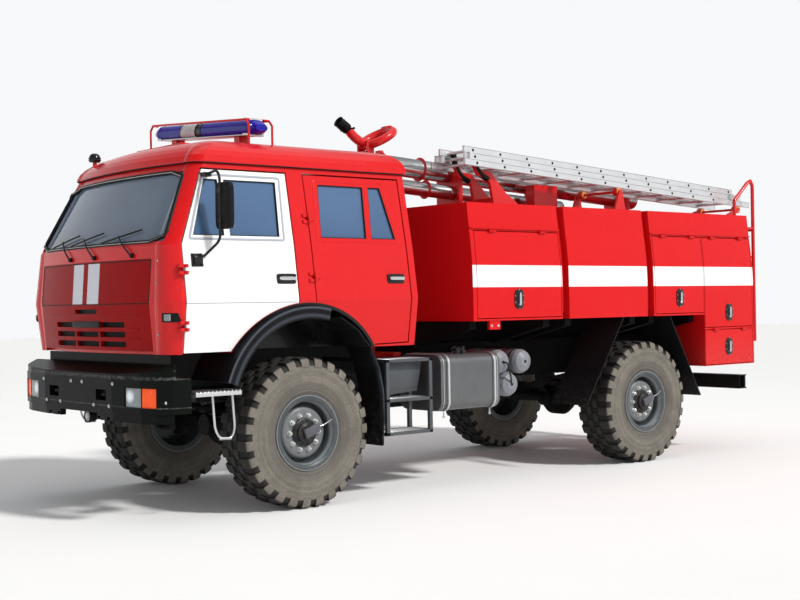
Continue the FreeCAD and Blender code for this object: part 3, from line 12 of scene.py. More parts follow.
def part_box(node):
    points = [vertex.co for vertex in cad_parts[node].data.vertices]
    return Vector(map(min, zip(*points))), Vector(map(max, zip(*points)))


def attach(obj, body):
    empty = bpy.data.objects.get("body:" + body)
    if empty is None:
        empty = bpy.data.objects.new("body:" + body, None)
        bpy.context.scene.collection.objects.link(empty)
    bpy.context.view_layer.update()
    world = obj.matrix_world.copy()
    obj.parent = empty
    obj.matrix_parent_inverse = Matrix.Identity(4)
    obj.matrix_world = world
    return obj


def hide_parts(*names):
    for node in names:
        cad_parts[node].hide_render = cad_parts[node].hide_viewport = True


bl_info = {
    "name": "Fire engine",
    "version": (1, 0, 0),
    "blender": (4, 5, 0),
    "location": "View3D > Sidebar > Fire engine",
    "description": "Dresses the packed fire engine with its finishes and small parts",
    "category": "Object",
}

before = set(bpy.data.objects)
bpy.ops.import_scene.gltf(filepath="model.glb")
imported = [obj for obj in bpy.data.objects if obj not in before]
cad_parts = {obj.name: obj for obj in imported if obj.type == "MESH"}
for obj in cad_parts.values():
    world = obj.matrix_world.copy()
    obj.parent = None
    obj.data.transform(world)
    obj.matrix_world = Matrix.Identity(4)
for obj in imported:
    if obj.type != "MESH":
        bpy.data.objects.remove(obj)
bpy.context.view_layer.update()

# Sizes that follow the CAD source, in metres; a place is a distance behind the front axle
FRONT_AXLE_Y = -2.458
WHEELBASE = 4.2
HUB_Z = 0.612
HUB_X = 1.02
BUMPER_NOSE = -1.43
BODY_REAR = 5.98
LIGHT_BAR_HALF = 0.84
LIGHT_BAR_PLACE = -0.155
LIGHT_BAR_LEAN = 4.2
MONITOR_PLACE = 1.585
MONITOR_TILT = math.radians(30.0)
LADDER_PLACE = 1.99
LADDER_BOTTOM = 2.915
LADDER_SLOPE = math.radians(3.35)
LADDER_OUTER = 0.965
LADDER_WIDTH = 0.49
RAIL_IN = 0.032
SEAT_GAP = 0.0003
# Height, half width, side's front, corner's x, corner's front and nose
CAB_LEVELS = ((1.285, 1.165, -1.130, 0.985, -1.245, -1.320), (1.690, 1.228, -1.160, 1.0165, -1.275, -1.350),
              (2.120, 1.165, -1.130, 0.985, -1.245, -1.320), (2.775, 1.035, -0.830, 0.880, -0.915, -1.000))
# Height and half width
BODY_SIDE = ((0.93, 1.25), (1.85, 1.25), (2.0, 1.243), (2.2, 1.222), (2.31, 1.205), (2.55, 1.18))
ORIGIN = (0, 0, 0)
X_AXIS, Y_AXIS, Z_AXIS = (1, 0, 0), (0, 1, 0), (0, 0, 1)


def at(distance):
    """Y of a place this far behind the front axle."""
    return FRONT_AXLE_Y + distance


def cab_level(z):
    """Half width, side's front, corner's x and front, and nose at height z, linear between levels."""
    table = np.array(CAB_LEVELS)
    return [float(np.interp(z, table[:, 0], table[:, k])) for k in range(1, table.shape[1])]


def side_x(z):
    """How far out the cab's side is at height z."""
    return cab_level(z)[0]


def body_x(z):
    """How far out the body's side is at height z."""
    table = np.array(BODY_SIDE)
    return float(np.interp(z, table[:, 0], table[:, 1]))


def circle_through(a, b, c):
    """Centre and radius of the circle through three plane points, where the bisectors of two chords meet."""
    a, b, c = (np.array(p, float) for p in (a, b, c))
    rows = np.array([b - a, c - a]) * 2
    centre = np.linalg.solve(rows, np.array([b @ b - a @ a, c @ c - a @ a]))
    return centre, float(np.linalg.norm(a - centre))


def front_arc(z):
    """Centre and radius, from above, of the wide arc across the cab's front at height z."""
    _, _, corner, corner_front, nose = cab_level(z)
    return circle_through((-corner, corner_front), (0, nose), (corner, corner_front))


def corner_arc(z):
    """Centre and radius, from above, of the tight arc round the cab's corner at height z."""
    half, side_front, corner, corner_front, _ = cab_level(z)
    middle = (half - 0.22 * (half - corner), side_front + 0.62 * (corner_front - side_front))
    return circle_through((half, side_front), middle, (corner, corner_front))


def front_y(x, z):
    """Y of the cab's front at a place: a wide arc over the middle and a tight arc round each corner."""
    half, _, corner, _, _ = cab_level(z)
    x = abs(x)
    centre, r = front_arc(z) if x <= corner else corner_arc(z)
    return at(centre[1] - math.sqrt(max(r * r - (min(x, half) - centre[0]) ** 2, 0.0)))


def cab_path(z, out, rear=1.17):
    """The cab's outline from above at height z, moved out: side, corner, front, corner and side."""
    half, side_front, corner, corner_front, _ = cab_level(z)
    (cx, cy), r = corner_arc(z)
    (_, fy), fr = front_arc(z)
    t = np.linspace(math.atan2(side_front - cy, half - cx), math.atan2(corner_front - cy, corner - cx), 12)
    bend = np.stack([cx + (r + out) * np.cos(t), cy + (r + out) * np.sin(t)], 1)
    t = np.linspace(math.atan2(corner_front - fy, corner), math.atan2(corner_front - fy, -corner), 40)[1:-1]
    front = np.stack([(fr + out) * np.cos(t), fy + (fr + out) * np.sin(t)], 1)
    left = np.concatenate([[(half + out, rear), (half + out, 0.3 * side_front)], bend])
    plan = np.concatenate([left, front, (left * (-1, 1))[::-1]])
    return np.stack([plan[:, 0], at(plan[:, 1]), np.full(len(plan), z)], 1)


# Surfaces

def grid_faces(rows, columns, close_u=False, close_v=False):
    """Quads of a grid of points in rows and columns, optionally closed either way."""
    i = np.arange(rows if close_u else rows - 1)
    j = np.arange(columns if close_v else columns - 1)
    i, j = (a.ravel() for a in np.meshgrid(i, j, indexing="ij"))
    k, m = (i + 1) % rows, (j + 1) % columns
    return np.stack([i * columns + j, k * columns + j, k * columns + m, i * columns + m], 1).tolist()


def pole_faces(rows, columns):
    """Quads of a grid closed along its rows, and at each end a fan to one of the two last points."""
    k = np.arange(columns)
    last = (rows - 1) * columns
    first_fan = [np.full(columns, rows * columns), (k + 1) % columns, k]
    last_fan = [np.full(columns, rows * columns + 1), last + k, last + (k + 1) % columns]
    fans = np.concatenate([np.stack(first_fan, 1), np.stack(last_fan, 1)])
    return grid_faces(rows, columns, close_v=True) + fans.tolist()


def outward(verts, faces):
    """Turns all faces round if the closed surface's signed volume is negative."""
    v = np.asarray(verts, float)
    centre = v.mean(0)
    total = 0.0
    for size in {len(f) for f in faces}:
        f = np.array([q for q in faces if len(q) == size])
        for k in range(1, size - 1):
            a, b, c = v[f[:, 0]] - centre, v[f[:, k]] - centre, v[f[:, k + 1]] - centre
            total += float(np.einsum("ij,ij->i", a, np.cross(b, c)).sum())
    return (v, faces) if total >= 0 else (v, [f[::-1] for f in faces])


def capped(points):
    """A closed surface from rings of points: quads between rings, and a flat face over each end ring."""
    rows, columns = points.shape[:2]
    faces = grid_faces(rows, columns, close_v=True)
    faces.append(list(range(columns)))
    faces.append(list(range((rows - 1) * columns, rows * columns))[::-1])
    return outward(points.reshape(-1, 3), faces)


def looped(points):
    """A closed surface from rings of points whose last ring joins the first."""
    return outward(points.reshape(-1, 3), grid_faces(*points.shape[:2], close_u=True, close_v=True))


def lathe(profile, centre=ORIGIN, axis="x", segments=64, side=1):
    """A profile of (distance a, radius r) turned round the axis u: point = centre + a u + r (cos, sin).

    A closed profile gives a ring; one that starts and ends on the axis gives a solid.
    """
    p = np.array(profile, float)
    t = np.linspace(0, 2 * math.pi, segments, endpoint=False)
    a, r = p[:, 0, None] * side + 0 * t, p[:, 1, None]
    c, s = r * np.cos(t), r * np.sin(t)
    order = {"x": (a, c, s), "y": (c, a, s), "z": (c, s, a)}[axis]
    points = np.stack(np.broadcast_arrays(*order), -1) + np.array(centre, float)
    if p[0, 1] > 1e-6 or p[-1, 1] > 1e-6:
        return looped(points)
    verts = np.concatenate([points[1:-1].reshape(-1, 3), points[:1, 0], points[-1:, 0]])
    return outward(verts, pole_faces(len(p) - 2, segments))


def eased_corner(before, here, after, cut, t):
    """A quadratic curve round a corner, between the places this far from it on both sides."""
    u, v = before - here, after - here
    a, b = here + u / np.linalg.norm(u) * cut, here + v / np.linalg.norm(v) * cut
    return (1 - t) ** 2 * a + 2 * t * (1 - t) * here + t ** 2 * b


def rounded_path(points, radius, steps=6):
    """A polyline whose corners are replaced by short curves, each a quadratic between its two cut points."""
    p = np.array(points, float)
    t = np.linspace(0, 1, steps)[:, None]
    out = [p[:1]]
    for before, here, after in zip(p, p[1:], p[2:]):
        cut = min(radius, 0.45 * np.linalg.norm(before - here), 0.45 * np.linalg.norm(after - here))
        out.append(eased_corner(before, here, after, cut, t))
    out.append(p[-1:])
    return np.concatenate(out)


def sweep(path, radius, segments=12, closed=False, squash=(1.0, 1.0), up=None):
    """A ring carried along a path: point = path + r (cos n + sin b), n and b turned least per step."""
    p = np.array(path, float)
    r = np.broadcast_to(np.asarray(radius, float), len(p))
    tangent = np.roll(p, -1, 0) - np.roll(p, 1, 0) if closed else np.gradient(p, axis=0)
    tangent /= np.linalg.norm(tangent, axis=1)[:, None]
    start = np.array(up if up is not None else (0, 0, 1.0) if abs(tangent[0][2]) < 0.9 else (1.0, 0, 0))
    normals = [start - tangent[0] * (start @ tangent[0])]
    for t in tangent[1:]:
        before = start if up is not None else normals[-1]
        normals.append(before - t * (before @ t))
    n = np.array(normals)
    n /= np.linalg.norm(n, axis=1)[:, None]
    b = np.cross(tangent, n)
    a = np.linspace(0, 2 * math.pi, segments, endpoint=False)
    ring = np.cos(a)[None, :, None] * n[:, None] * squash[0]
    ring = ring + np.sin(a)[None, :, None] * b[:, None] * squash[1]
    points = p[:, None] + ring * r[:, None, None]
    return looped(points) if closed else capped(points)


def box(x, y, z):
    """A box between two values along each axis, as two rings of four corners."""
    low = [(x[0], y[0], z[0]), (x[1], y[0], z[0]), (x[1], y[1], z[0]), (x[0], y[1], z[0])]
    return capped(np.array([low, [(a, b, z[1]) for a, b, _ in low]], float))


def plate(outline, axis, low, high):
    """A flat outline of (y, z), (x, z) or (x, y) points given thickness along x, y or z."""
    o = np.array(outline, float)
    place = "xyz".index(axis)
    return capped(np.array([np.insert(o, place, value, axis=1) for value in (low, high)]))


def slab(front, back):
    """A closed shell from a front and a back grid of one shape, joined round their edge."""
    rows, columns = front.shape[:2]
    count = rows * columns
    index = np.arange(count).reshape(rows, columns)
    loop = np.concatenate([index[0, :], index[1:, -1], index[-1, -2::-1], index[-2:0:-1, 0]])
    following = np.roll(loop, -1)
    faces = grid_faces(rows, columns)
    faces += [[i + count for i in reversed(q)] for q in grid_faces(rows, columns)]
    faces += np.stack([loop, following, following + count, loop + count], 1).tolist()
    return outward(np.concatenate([front.reshape(-1, 3), back.reshape(-1, 3)]), faces)


def pillow(centre, half, power=4.0, rows=18, columns=36):
    """A closed superellipsoid: half size times the sphere's coordinate to the power 2/power, sign kept."""
    a = np.linspace(-math.pi / 2, math.pi / 2, rows)[1:-1]
    b = np.linspace(0, 2 * math.pi, columns, endpoint=False)

    def eased(v):
        return np.sign(v) * np.abs(v) ** (2 / power)
    ca, sa, cb, sb = eased(np.cos(a))[:, None], eased(np.sin(a))[:, None], eased(np.cos(b)), eased(np.sin(b))
    unit = np.stack(np.broadcast_arrays(ca * cb, ca * sb, sa + 0 * cb), -1)
    verts = np.concatenate([unit.reshape(-1, 3), [(0, 0, -1.0), (0, 0, 1.0)]])
    return outward(verts * np.array(half) + np.array(centre, float), pole_faces(*unit.shape[:2]))


def disc_outline(centre, across, up, count=40, power=2.0):
    """A rounded outline: (c + a sgn|cos|^(2/p), d + b sgn|sin|^(2/p)), a box with soft corners as p grows."""
    t = np.linspace(0, 2 * math.pi, count, endpoint=False)
    c, s = np.cos(t), np.sin(t)
    return np.stack([centre[0] + across * np.sign(c) * np.abs(c) ** (2 / power),
                     centre[1] + up * np.sign(s) * np.abs(s) ** (2 / power)], 1)


def joined(parts):
    """One mesh from several, each (points, faces), with their face numbers moved up."""
    verts, faces, count = [], [], 0
    for v, f in parts:
        v = np.asarray(v, float)
        verts.append(v)
        faces += [[i + count for i in q] for q in f]
        count += len(v)
    return np.concatenate(verts), faces


def repeated(part, offsets):
    """Copies of one mesh at each offset, as one mesh."""
    return joined([(np.asarray(part[0]) + np.array(o, float), part[1]) for o in offsets])


def turned(part, angle, axis=X_AXIS, centre=ORIGIN):
    """A mesh turned about an axis through a centre by an angle in radians."""
    m = np.array(Matrix.Rotation(angle, 3, Vector(axis)))
    c = np.array(centre, float)
    return (np.asarray(part[0]) - c) @ m.T + c, part[1]


def mirrored(part):
    """The same mesh on the other side, with its faces turned round so that they stay outward."""
    return np.array(part[0], float) * (-1, 1, 1), [f[::-1] for f in part[1]]


def both(part):
    """A mesh and its mirror image, as one mesh."""
    return joined([part, mirrored(part)])


def put(name, part, material, body, slot, replaces=(), bevel=0.0, smooth=40.0):
    """Makes an object of a mesh, with its finish, its body and what it stands for."""
    verts, faces = part
    mesh = bpy.data.meshes.new(name)
    mesh.from_pydata(np.asarray(verts).tolist(), [], faces)
    mesh.update()
    piece = bpy.data.objects.new(name, mesh)
    bpy.context.scene.collection.objects.link(piece)
    mesh.materials.append(FINISHES[material])
    if bevel:
        rounding = piece.modifiers.new("Rounding", "BEVEL")
        rounding.width, rounding.segments, rounding.limit_method = bevel, 2, "ANGLE"
        rounding.angle_limit = math.radians(35)
    if smooth:
        mesh.shade_smooth()
        edges = piece.modifiers.new("Creases", "EDGE_SPLIT")
        edges.split_angle = math.radians(smooth)
    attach(piece, body)
    if replaces:
        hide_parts(*replaces)
    return piece


def put_pair(name, part, material, body, slot, replaces=(), **look):
    """Makes a left piece and its mirror image on the right; {} in a name stands for the side."""
    for side, piece in (("left", part), ("right", mirrored(part))):
        nodes = tuple(node.format(side) for node in replaces)
        put(name.format(side), piece, material, body.format(side), slot, nodes, **look)


# Finishes

FINISHES = {}
DUST = (0.33, 0.30, 0.255)
SHADOW = (0.006, 0.006, 0.0065)
ARCH_MIDDLE = (at(0.02), 0.80)
ARCH_INSIDE = 0.866
ARCH_DEPTH_X = 0.545
CAB_FLOOR_Z = 1.2845
STRIPE_Z = (1.78, 1.98)
STRIPE_OUT = (1.2425, 1.4)
PANEL_MARK_Z = (1.680, 2.006)
PANEL_MARKS_X = ((-0.229, -0.044), (0.037, 0.229))


class Finish:
    """Builds one material: node by node, with short names for the usual ones."""

    def __init__(self, name):
        self.material = bpy.data.materials.new(name)
        self.material.use_nodes = True
        self.tree = self.material.node_tree
        self.shader = self.tree.nodes["Principled BSDF"]
        self.place = self.add("ShaderNodeTexCoord").outputs["Object"]
        FINISHES[name] = self.material

    def add(self, kind, **values):
        node = self.tree.nodes.new(kind)
        for key, value in values.items():
            self.feed(node.inputs[key.title()], value)
        return node

    def feed(self, socket, value):
        if isinstance(value, bpy.types.NodeSocket):
            self.tree.links.new(value, socket)
        else:
            socket.default_value = value

    def math(self, operation, a, b=0.0):
        node = self.tree.nodes.new("ShaderNodeMath")
        node.operation = operation
        self.feed(node.inputs[0], a)
        self.feed(node.inputs[1], b)
        return node.outputs[0]

    def times(self, a, b):
        return self.math("MULTIPLY", a, b)

    def plus(self, a, b):
        return self.math("ADD", a, b)

    def minus(self, a, b):
        return self.math("SUBTRACT", a, b)

    def most(self, a, b):
        return self.math("MAXIMUM", a, b)

    def squares(self, a, b):
        """The sum of two values' squares."""
        return self.plus(self.times(a, a), self.times(b, b))

    def axes(self):
        """Across, along and up in the vehicle's frame, and the distance from its middle plane."""
        node = self.add("ShaderNodeSeparateXYZ", vector=self.place)
        x, y, z = node.outputs
        return x, y, z, self.math("ABSOLUTE", x)

    def step(self, value, low, high):
        """0 below low, 1 above high, and a straight rise between; with low above high it falls instead."""
        node = self.tree.nodes.new("ShaderNodeMapRange")
        for socket, v in zip(node.inputs, (value, low, high, 0.0, 1.0)):
            self.feed(socket, v)
        return node.outputs[0]

    def band(self, value, low, high, soft=0.0008):
        """1 between low and high and 0 outside."""
        return self.times(self.step(value, low - soft, low + soft),
                          self.step(value, high + soft, high - soft))

    def noise(self, scale, detail=3.0, rough=0.55, stretch=None):
        """Cloudy noise from 0 to 1, its pattern pressed together along each axis by stretch."""
        place = self.place
        if stretch:
            place = self.add("ShaderNodeMapping", vector=place, scale=stretch).outputs[0]
        cloud = self.add("ShaderNodeTexNoise", vector=place, scale=scale, detail=detail, roughness=rough)
        return cloud.outputs["Fac"]

    def specks(self, scale, low, high, detail=5.0, rough=0.7):
        """Noise sharpened to spots: 0 where it is below low and 1 above high."""
        return self.step(self.noise(scale, detail, rough), low, high)

    def mix(self, share, a, b):
        node = self.tree.nodes.new("ShaderNodeMix")
        node.data_type = "RGBA"
        self.feed(node.inputs[0], share)
        for socket, value in ((node.inputs[6], a), (node.inputs[7], b)):
            self.feed(socket, (*value, 1.0) if isinstance(value, tuple) else value)
        return node.outputs[2]

    def bump(self, height, strength, distance=0.001, edge=0.0):
        """Relief in the shading, with light caught on edges as if they were rounded by this radius."""
        node = self.add("ShaderNodeBump", strength=strength, distance=distance, height=height)
        if edge:
            rounding = self.add("ShaderNodeBevel", radius=edge)
            rounding.samples = 6
            self.feed(node.inputs["Normal"], rounding.outputs[0])
        self.feed(self.shader.inputs["Normal"], node.outputs[0])

    def set(self, **values):
        names = {"color": "Base Color", "rough": "Roughness", "metal": "Metallic", "coat": "Coat Weight",
                 "coat_rough": "Coat Roughness", "ior": "IOR", "clear": "Transmission Weight",
                 "sheen": "Sheen Weight", "glow": "Emission Strength", "glow_color": "Emission Color",
                 "spec": "Specular IOR Level"}
        for key, value in values.items():
            self.feed(self.shader.inputs[names[key]], (*value, 1.0) if isinstance(value, tuple) else value)


def scaled(color, share):
    return tuple(c * share for c in color)


def arch_squares(f, y, z):
    """The squared distance from the front wheel arch's middle, seen from the side."""
    return f.squares(f.minus(y, ARCH_MIDDLE[0]), f.minus(z, ARCH_MIDDLE[1]))


def paint(name, color, rough=0.22, coat=0.12, spec=0.3, dust=0.25, marks=(), shade=0.08, arch=False):
    """Gloss paint with slight cloudiness, fine waviness, dust that thickens downwards, and painted bands.

    marks are (axis, low, high, axis, low, high, colour): the paint inside both ranges takes that colour.
    With arch, the paint is black inside the front wheel arch's circle and under the cab's floor, as painted
    shade.
    """
    f = Finish(name)
    axes = dict(zip(("x", "y", "z", "out"), f.axes()))
    base = f.mix(f.times(f.noise(2.3, 4.0), shade * 2), color, scaled(color, 0.62))
    for first, low, high, second, low2, high2, tone in marks:
        base = f.mix(f.times(f.band(axes[first], low, high), f.band(axes[second], low2, high2)), base, tone)
    # Painted shade: the paint turns black inside the front wheel arch and under the cab's floor, where shade
    # falls.
    if arch:
        away, edge = arch_squares(f, axes["y"], axes["z"]), ARCH_INSIDE ** 2
        inside = f.step(away, edge + 0.002, edge - 0.002)
        painted_arch_shade = f.times(inside, f.step(axes["out"], ARCH_DEPTH_X - 0.005, ARCH_DEPTH_X + 0.005))
        under = f.step(axes["z"], CAB_FLOOR_Z + 0.001, CAB_FLOOR_Z - 0.001)
        base = f.mix(f.most(painted_arch_shade, under), base, SHADOW)
    speck = f.noise(38.0, 5.0, 0.7)
    grime = f.times(f.times(f.step(axes["z"], 1.35, 0.55), f.step(speck, 0.32, 0.75)), dust)
    streak = f.times(f.step(f.noise(7.0, 4.0, 0.6, (6.0, 6.0, 0.5)), 0.55, 0.85), 0.03)
    dull = f.plus(f.times(grime, 0.5), f.plus(rough - 0.03, f.times(speck, 0.08)))
    f.set(color=f.mix(f.most(grime, streak), base, DUST), rough=dull, coat=coat, coat_rough=0.05, spec=spec)
    f.bump(f.noise(130.0, 2.0), 0.05, 0.0006, 0.003)


def plain(name, color, rough, metal=0.0, coat=0.0, vary=0.25, grain=60.0, relief=0.12, dust=0.12,
          dust_top=1.2,
          edge=0.002, stretch=None, spec=0.2):
    """A solid finish with cloudy colour, grain in its gloss and relief, and settled dust."""
    f = Finish(name)
    _, _, z, _ = f.axes()
    fine = f.noise(grain, 4.0, 0.6, stretch)
    base = f.mix(f.noise(5.0, 5.0, 0.6), scaled(color, 1 + vary), scaled(color, 1 - vary))
    grime = f.times(f.times(f.step(z, dust_top, 0.5), f.specks(24.0, 0.3, 0.8)), dust)
    f.set(color=f.mix(grime, base, DUST), metal=metal, rough=f.plus(f.times(fine, 0.16), rough - 0.08),
          coat=coat,
          coat_rough=0.1, spec=spec)
    f.bump(fine, relief, 0.0008, edge)


def wheel_radius(f, y, z):
    """Distance from the nearer wheel's centre, in the plane of the wheels."""
    up = f.minus(z, HUB_Z)
    across = [f.minus(y, middle) for middle in (FRONT_AXLE_Y, FRONT_AXLE_Y + WHEELBASE)]
    nearer = f.math("MINIMUM", *(f.times(a, a) for a in across))
    return f.math("SQRT", f.plus(nearer, f.times(up, up)))


def wheel_finish():
    """Grey wheel paint: a lighter dish, a black hub bore, painted highlights as bright lines on two edges of
    the rim, and dust.
    """
    f = Finish("wheel_grey")
    _, y, z, out = f.axes()
    radius = wheel_radius(f, y, z)
    base = f.mix(f.noise(7.0, 5.0, 0.6), (0.040, 0.048, 0.052), (0.062, 0.072, 0.078))
    dish = f.times(f.band(radius, 0.118, 0.212, 0.006), f.step(out, HUB_X + 0.05, HUB_X + 0.09))
    # Painted highlights: bright bluish lines on the rim's outer edge and on the edge of the tyre's seat.
    rim_edge_highlight = f.times(f.band(radius, 0.300, 0.312, 0.002), 0.5)
    outer = f.times(f.step(out, HUB_X + 0.12, HUB_X + 0.14), 0.6)
    seat_edge_highlight = f.times(f.band(radius, 0.2475, 0.2565, 0.0015), outer)
    for share, tone in ((dish, (0.135, 0.145, 0.150)), (f.step(radius, 0.117, 0.112), (0.006, 0.006, 0.007)),
                        (rim_edge_highlight, (0.30, 0.33, 0.36)), (seat_edge_highlight, (0.34, 0.37, 0.40)),
                        (f.times(f.specks(24.0, 0.45, 0.85), 0.18), DUST)):
        base = f.mix(share, base, tone)
    f.set(color=base, rough=f.plus(0.30, f.times(f.noise(60.0), 0.16)), spec=0.3)
    f.bump(f.noise(90.0, 3.0), 0.12, 0.0008, 0.002)


def bumper_finish():
    """Black bumper paint with spots of wear, grey patches along its shelf that are partly wear and partly
    painted highlight, and painted highlight lines along the shelf's front edge and its lower lip.
    """
    f = Finish("bumper_black")
    _, _, z, _ = f.axes()
    fine, wear_and_highlight_noise = f.noise(150.0, 4.0, 0.6), f.noise(26.0, 6.0, 0.72)
    base = f.mix(f.noise(4.0, 4.0), (0.0030, 0.0042, 0.0034), (0.0055, 0.0075, 0.006))
    # Painted highlights: lighter lines along the shelf's front edge and the lower lip; the grey patches on
    # the shelf are partly wear and partly painted highlight.
    lip_highlights = f.most(f.band(z, 1.100, 1.122, 0.004), f.band(z, 0.884, 0.892, 0.002))
    shelf = f.times(f.step(wear_and_highlight_noise, 0.62, 0.74), f.band(z, 1.10, 1.205, 0.01))
    scuffs_and_highlights = f.most(shelf, f.times(f.step(wear_and_highlight_noise, 0.42, 0.58), lip_highlights))
    base = f.mix(f.times(scuffs_and_highlights, 0.45), base, (0.20, 0.20, 0.20))
    base = f.mix(f.times(f.step(wear_and_highlight_noise, 0.70, 0.76), 0.2), base, (0.10, 0.10, 0.098))
    f.set(color=base, rough=f.plus(0.20, f.times(fine, 0.22)), spec=0.05)
    f.bump(fine, 0.2, 0.0008, 0.003)


def flap_finish():
    """Black mudguard plastic: mud on its lower part, and two painted highlight bands round the front flare's
    lip.
    """
    f = Finish("flap_black")
    _, y, z, out = f.axes()
    base = f.mix(f.noise(9.0, 4.0), (0.0055, 0.0055, 0.006), (0.011, 0.011, 0.012))
    mud = f.times(f.step(z, 0.95, 0.45), f.specks(30.0, 0.45, 0.8))
    base = f.mix(f.times(mud, 0.25), base, DUST)
    away = f.math("SQRT", arch_squares(f, y, z))
    # Painted highlight: two bluish bands along the front flare's rounded lip.
    lip = f.most(f.band(away, 0.818, 0.834, 0.006), f.times(f.band(away, 0.752, 0.775, 0.010), 0.6))
    outside = f.times(f.step(out, 1.16, 1.19), f.step(z, 0.62, 0.9))
    base = f.mix(f.times(f.times(lip, outside), 0.75), base, (0.085, 0.10, 0.125))
    f.set(color=base, rough=0.33, spec=0.08)
    f.bump(f.noise(60.0, 3.0), 0.15, 0.001, 0.002)


def tyre_finish():
    """Dusty rubber with darker ring lines, and painted shade in the wall's hollow, over the tread and at the
    side blocks' feet.
    """
    f = Finish("tyre_rubber")
    _, y, z, out = f.axes()
    cloud, speck = f.noise(6.0, 5.0, 0.65), f.noise(70.0, 4.0, 0.7)
    base = f.mix(f.step(cloud, 0.3, 0.7), (0.125, 0.112, 0.094), (0.200, 0.180, 0.152))
    radius, off = wheel_radius(f, y, z), f.math("ABSOLUTE", f.minus(out, HUB_X))
    upper_rings = f.most(f.band(radius, 0.498, 0.502, 0.001), f.band(radius, 0.438, 0.441, 0.001))
    rings = f.most(f.band(radius, 0.484, 0.488, 0.001), upper_rings)
    tread = f.most(f.step(radius, 0.592, 0.604),
                   f.times(f.step(radius, 0.555, 0.575), f.step(off, 0.190, 0.180)))
    shoulder = f.minus(0.4027, f.times(radius, 0.37))
    groove_shade = f.times(f.step(f.minus(off, shoulder), 0.001, -0.001), f.band(radius, 0.543, 0.602, 0.003))
    # Painted shade: darker in the wall's hollow, over the tread and its recesses, and darkest at the side
    # blocks' feet.
    for mask, share, tone in ((f.step(speck, 0.42, 0.75), 0.4, (0.045, 0.042, 0.039)),
                              (f.band(radius, 0.30, 0.405, 0.02), 0.40, (0.055, 0.051, 0.046)),
                              (rings, 0.55, (0.040, 0.037, 0.033)), (tread, 0.92, (0.016, 0.0155, 0.015)),
                              (groove_shade, 0.9, (0.010, 0.0095, 0.009))):
        base = f.mix(f.times(mask, share), base, tone)
    f.set(color=base, rough=f.plus(0.68, f.times(speck, 0.2)), spec=0.3)
    f.bump(f.noise(160.0, 4.0), 0.3, 0.0008)


def fabric_finish():
    """Dark woven seat cloth."""
    f = Finish("seat_fabric")
    weave = f.add("ShaderNodeTexVoronoi", scale=420.0, vector=f.place)
    f.set(color=f.mix(f.noise(14.0, 3.0), (0.040, 0.042, 0.050), (0.075, 0.078, 0.090)), rough=0.9,
          sheen=0.25)
    f.bump(weave.outputs["Distance"], 0.35, 0.001)


def glass_finish(name, low, high, clear):
    """Tinted glass with a painted sky reflection: it pales upwards and in clouds."""
    f = Finish(name)
    _, _, z, _ = f.axes()
    # Painted reflection: the glass pales towards the top and in soft clouds, as the sky's reflection would.
    sky = f.plus(f.times(f.step(z, 2.15, 2.7), 0.6), f.times(f.noise(1.6, 3.0, 0.6, (1.0, 1.0, 2.5)), 0.5))
    f.set(color=f.mix(sky, low, high), rough=f.plus(0.04, f.times(f.noise(4.0, 3.0), 0.05)), clear=clear,
          ior=1.5,
          spec=0.35)


def lens_ribs(f, scale):
    """Fine ribs in a lens."""
    ribs = f.add("ShaderNodeTexWave", scale=scale, distortion=0.2, vector=f.place)
    f.bump(ribs.outputs["Fac"], 0.35, 0.0012)


def lens_finish(name, color, clear, glow, scale=62.0):
    """A coloured lens with ribs, cloudy depth and pale glints."""
    f = Finish(name)
    glints = f.times(f.specks(34.0, 0.60, 0.72, 4.0, 0.75), 0.35)
    tone = f.mix(glints, f.mix(f.noise(11.0, 3.0), color, scaled(color, 0.35)),
                 tuple(c * 0.5 + 0.30 for c in color))
    f.set(color=tone, rough=f.plus(0.08, f.times(f.noise(25.0), 0.06)), clear=clear, ior=1.49, spec=0.3,
          glow=glow,
          glow_color=color)
    lens_ribs(f, scale)


def head_lens_finish():
    """The clear lens, with a painted reflection: bright over the outer reflector and dim elsewhere."""
    f = Finish("clear_lens")
    _, _, z, out = f.axes()
    # Painted reflection: a bright patch on the lens in front of the outer reflector.
    painted_reflection = f.squares(f.math("DIVIDE", f.minus(out, 0.838), 0.055), f.math("DIVIDE", f.minus(z, 0.972), 0.045))
    color = f.mix(f.step(painted_reflection, 1.5, 0.1), (0.24, 0.27, 0.27), (0.92, 0.95, 1.0))
    deep = f.mix(0.5, color, (0.10, 0.12, 0.13))
    f.set(color=f.mix(f.noise(30.0, 4.0, 0.7), color, deep), rough=0.10, clear=0.2, ior=1.49, spec=0.3,
          glow=0.20,
          glow_color=color)
    lens_ribs(f, 62.0)


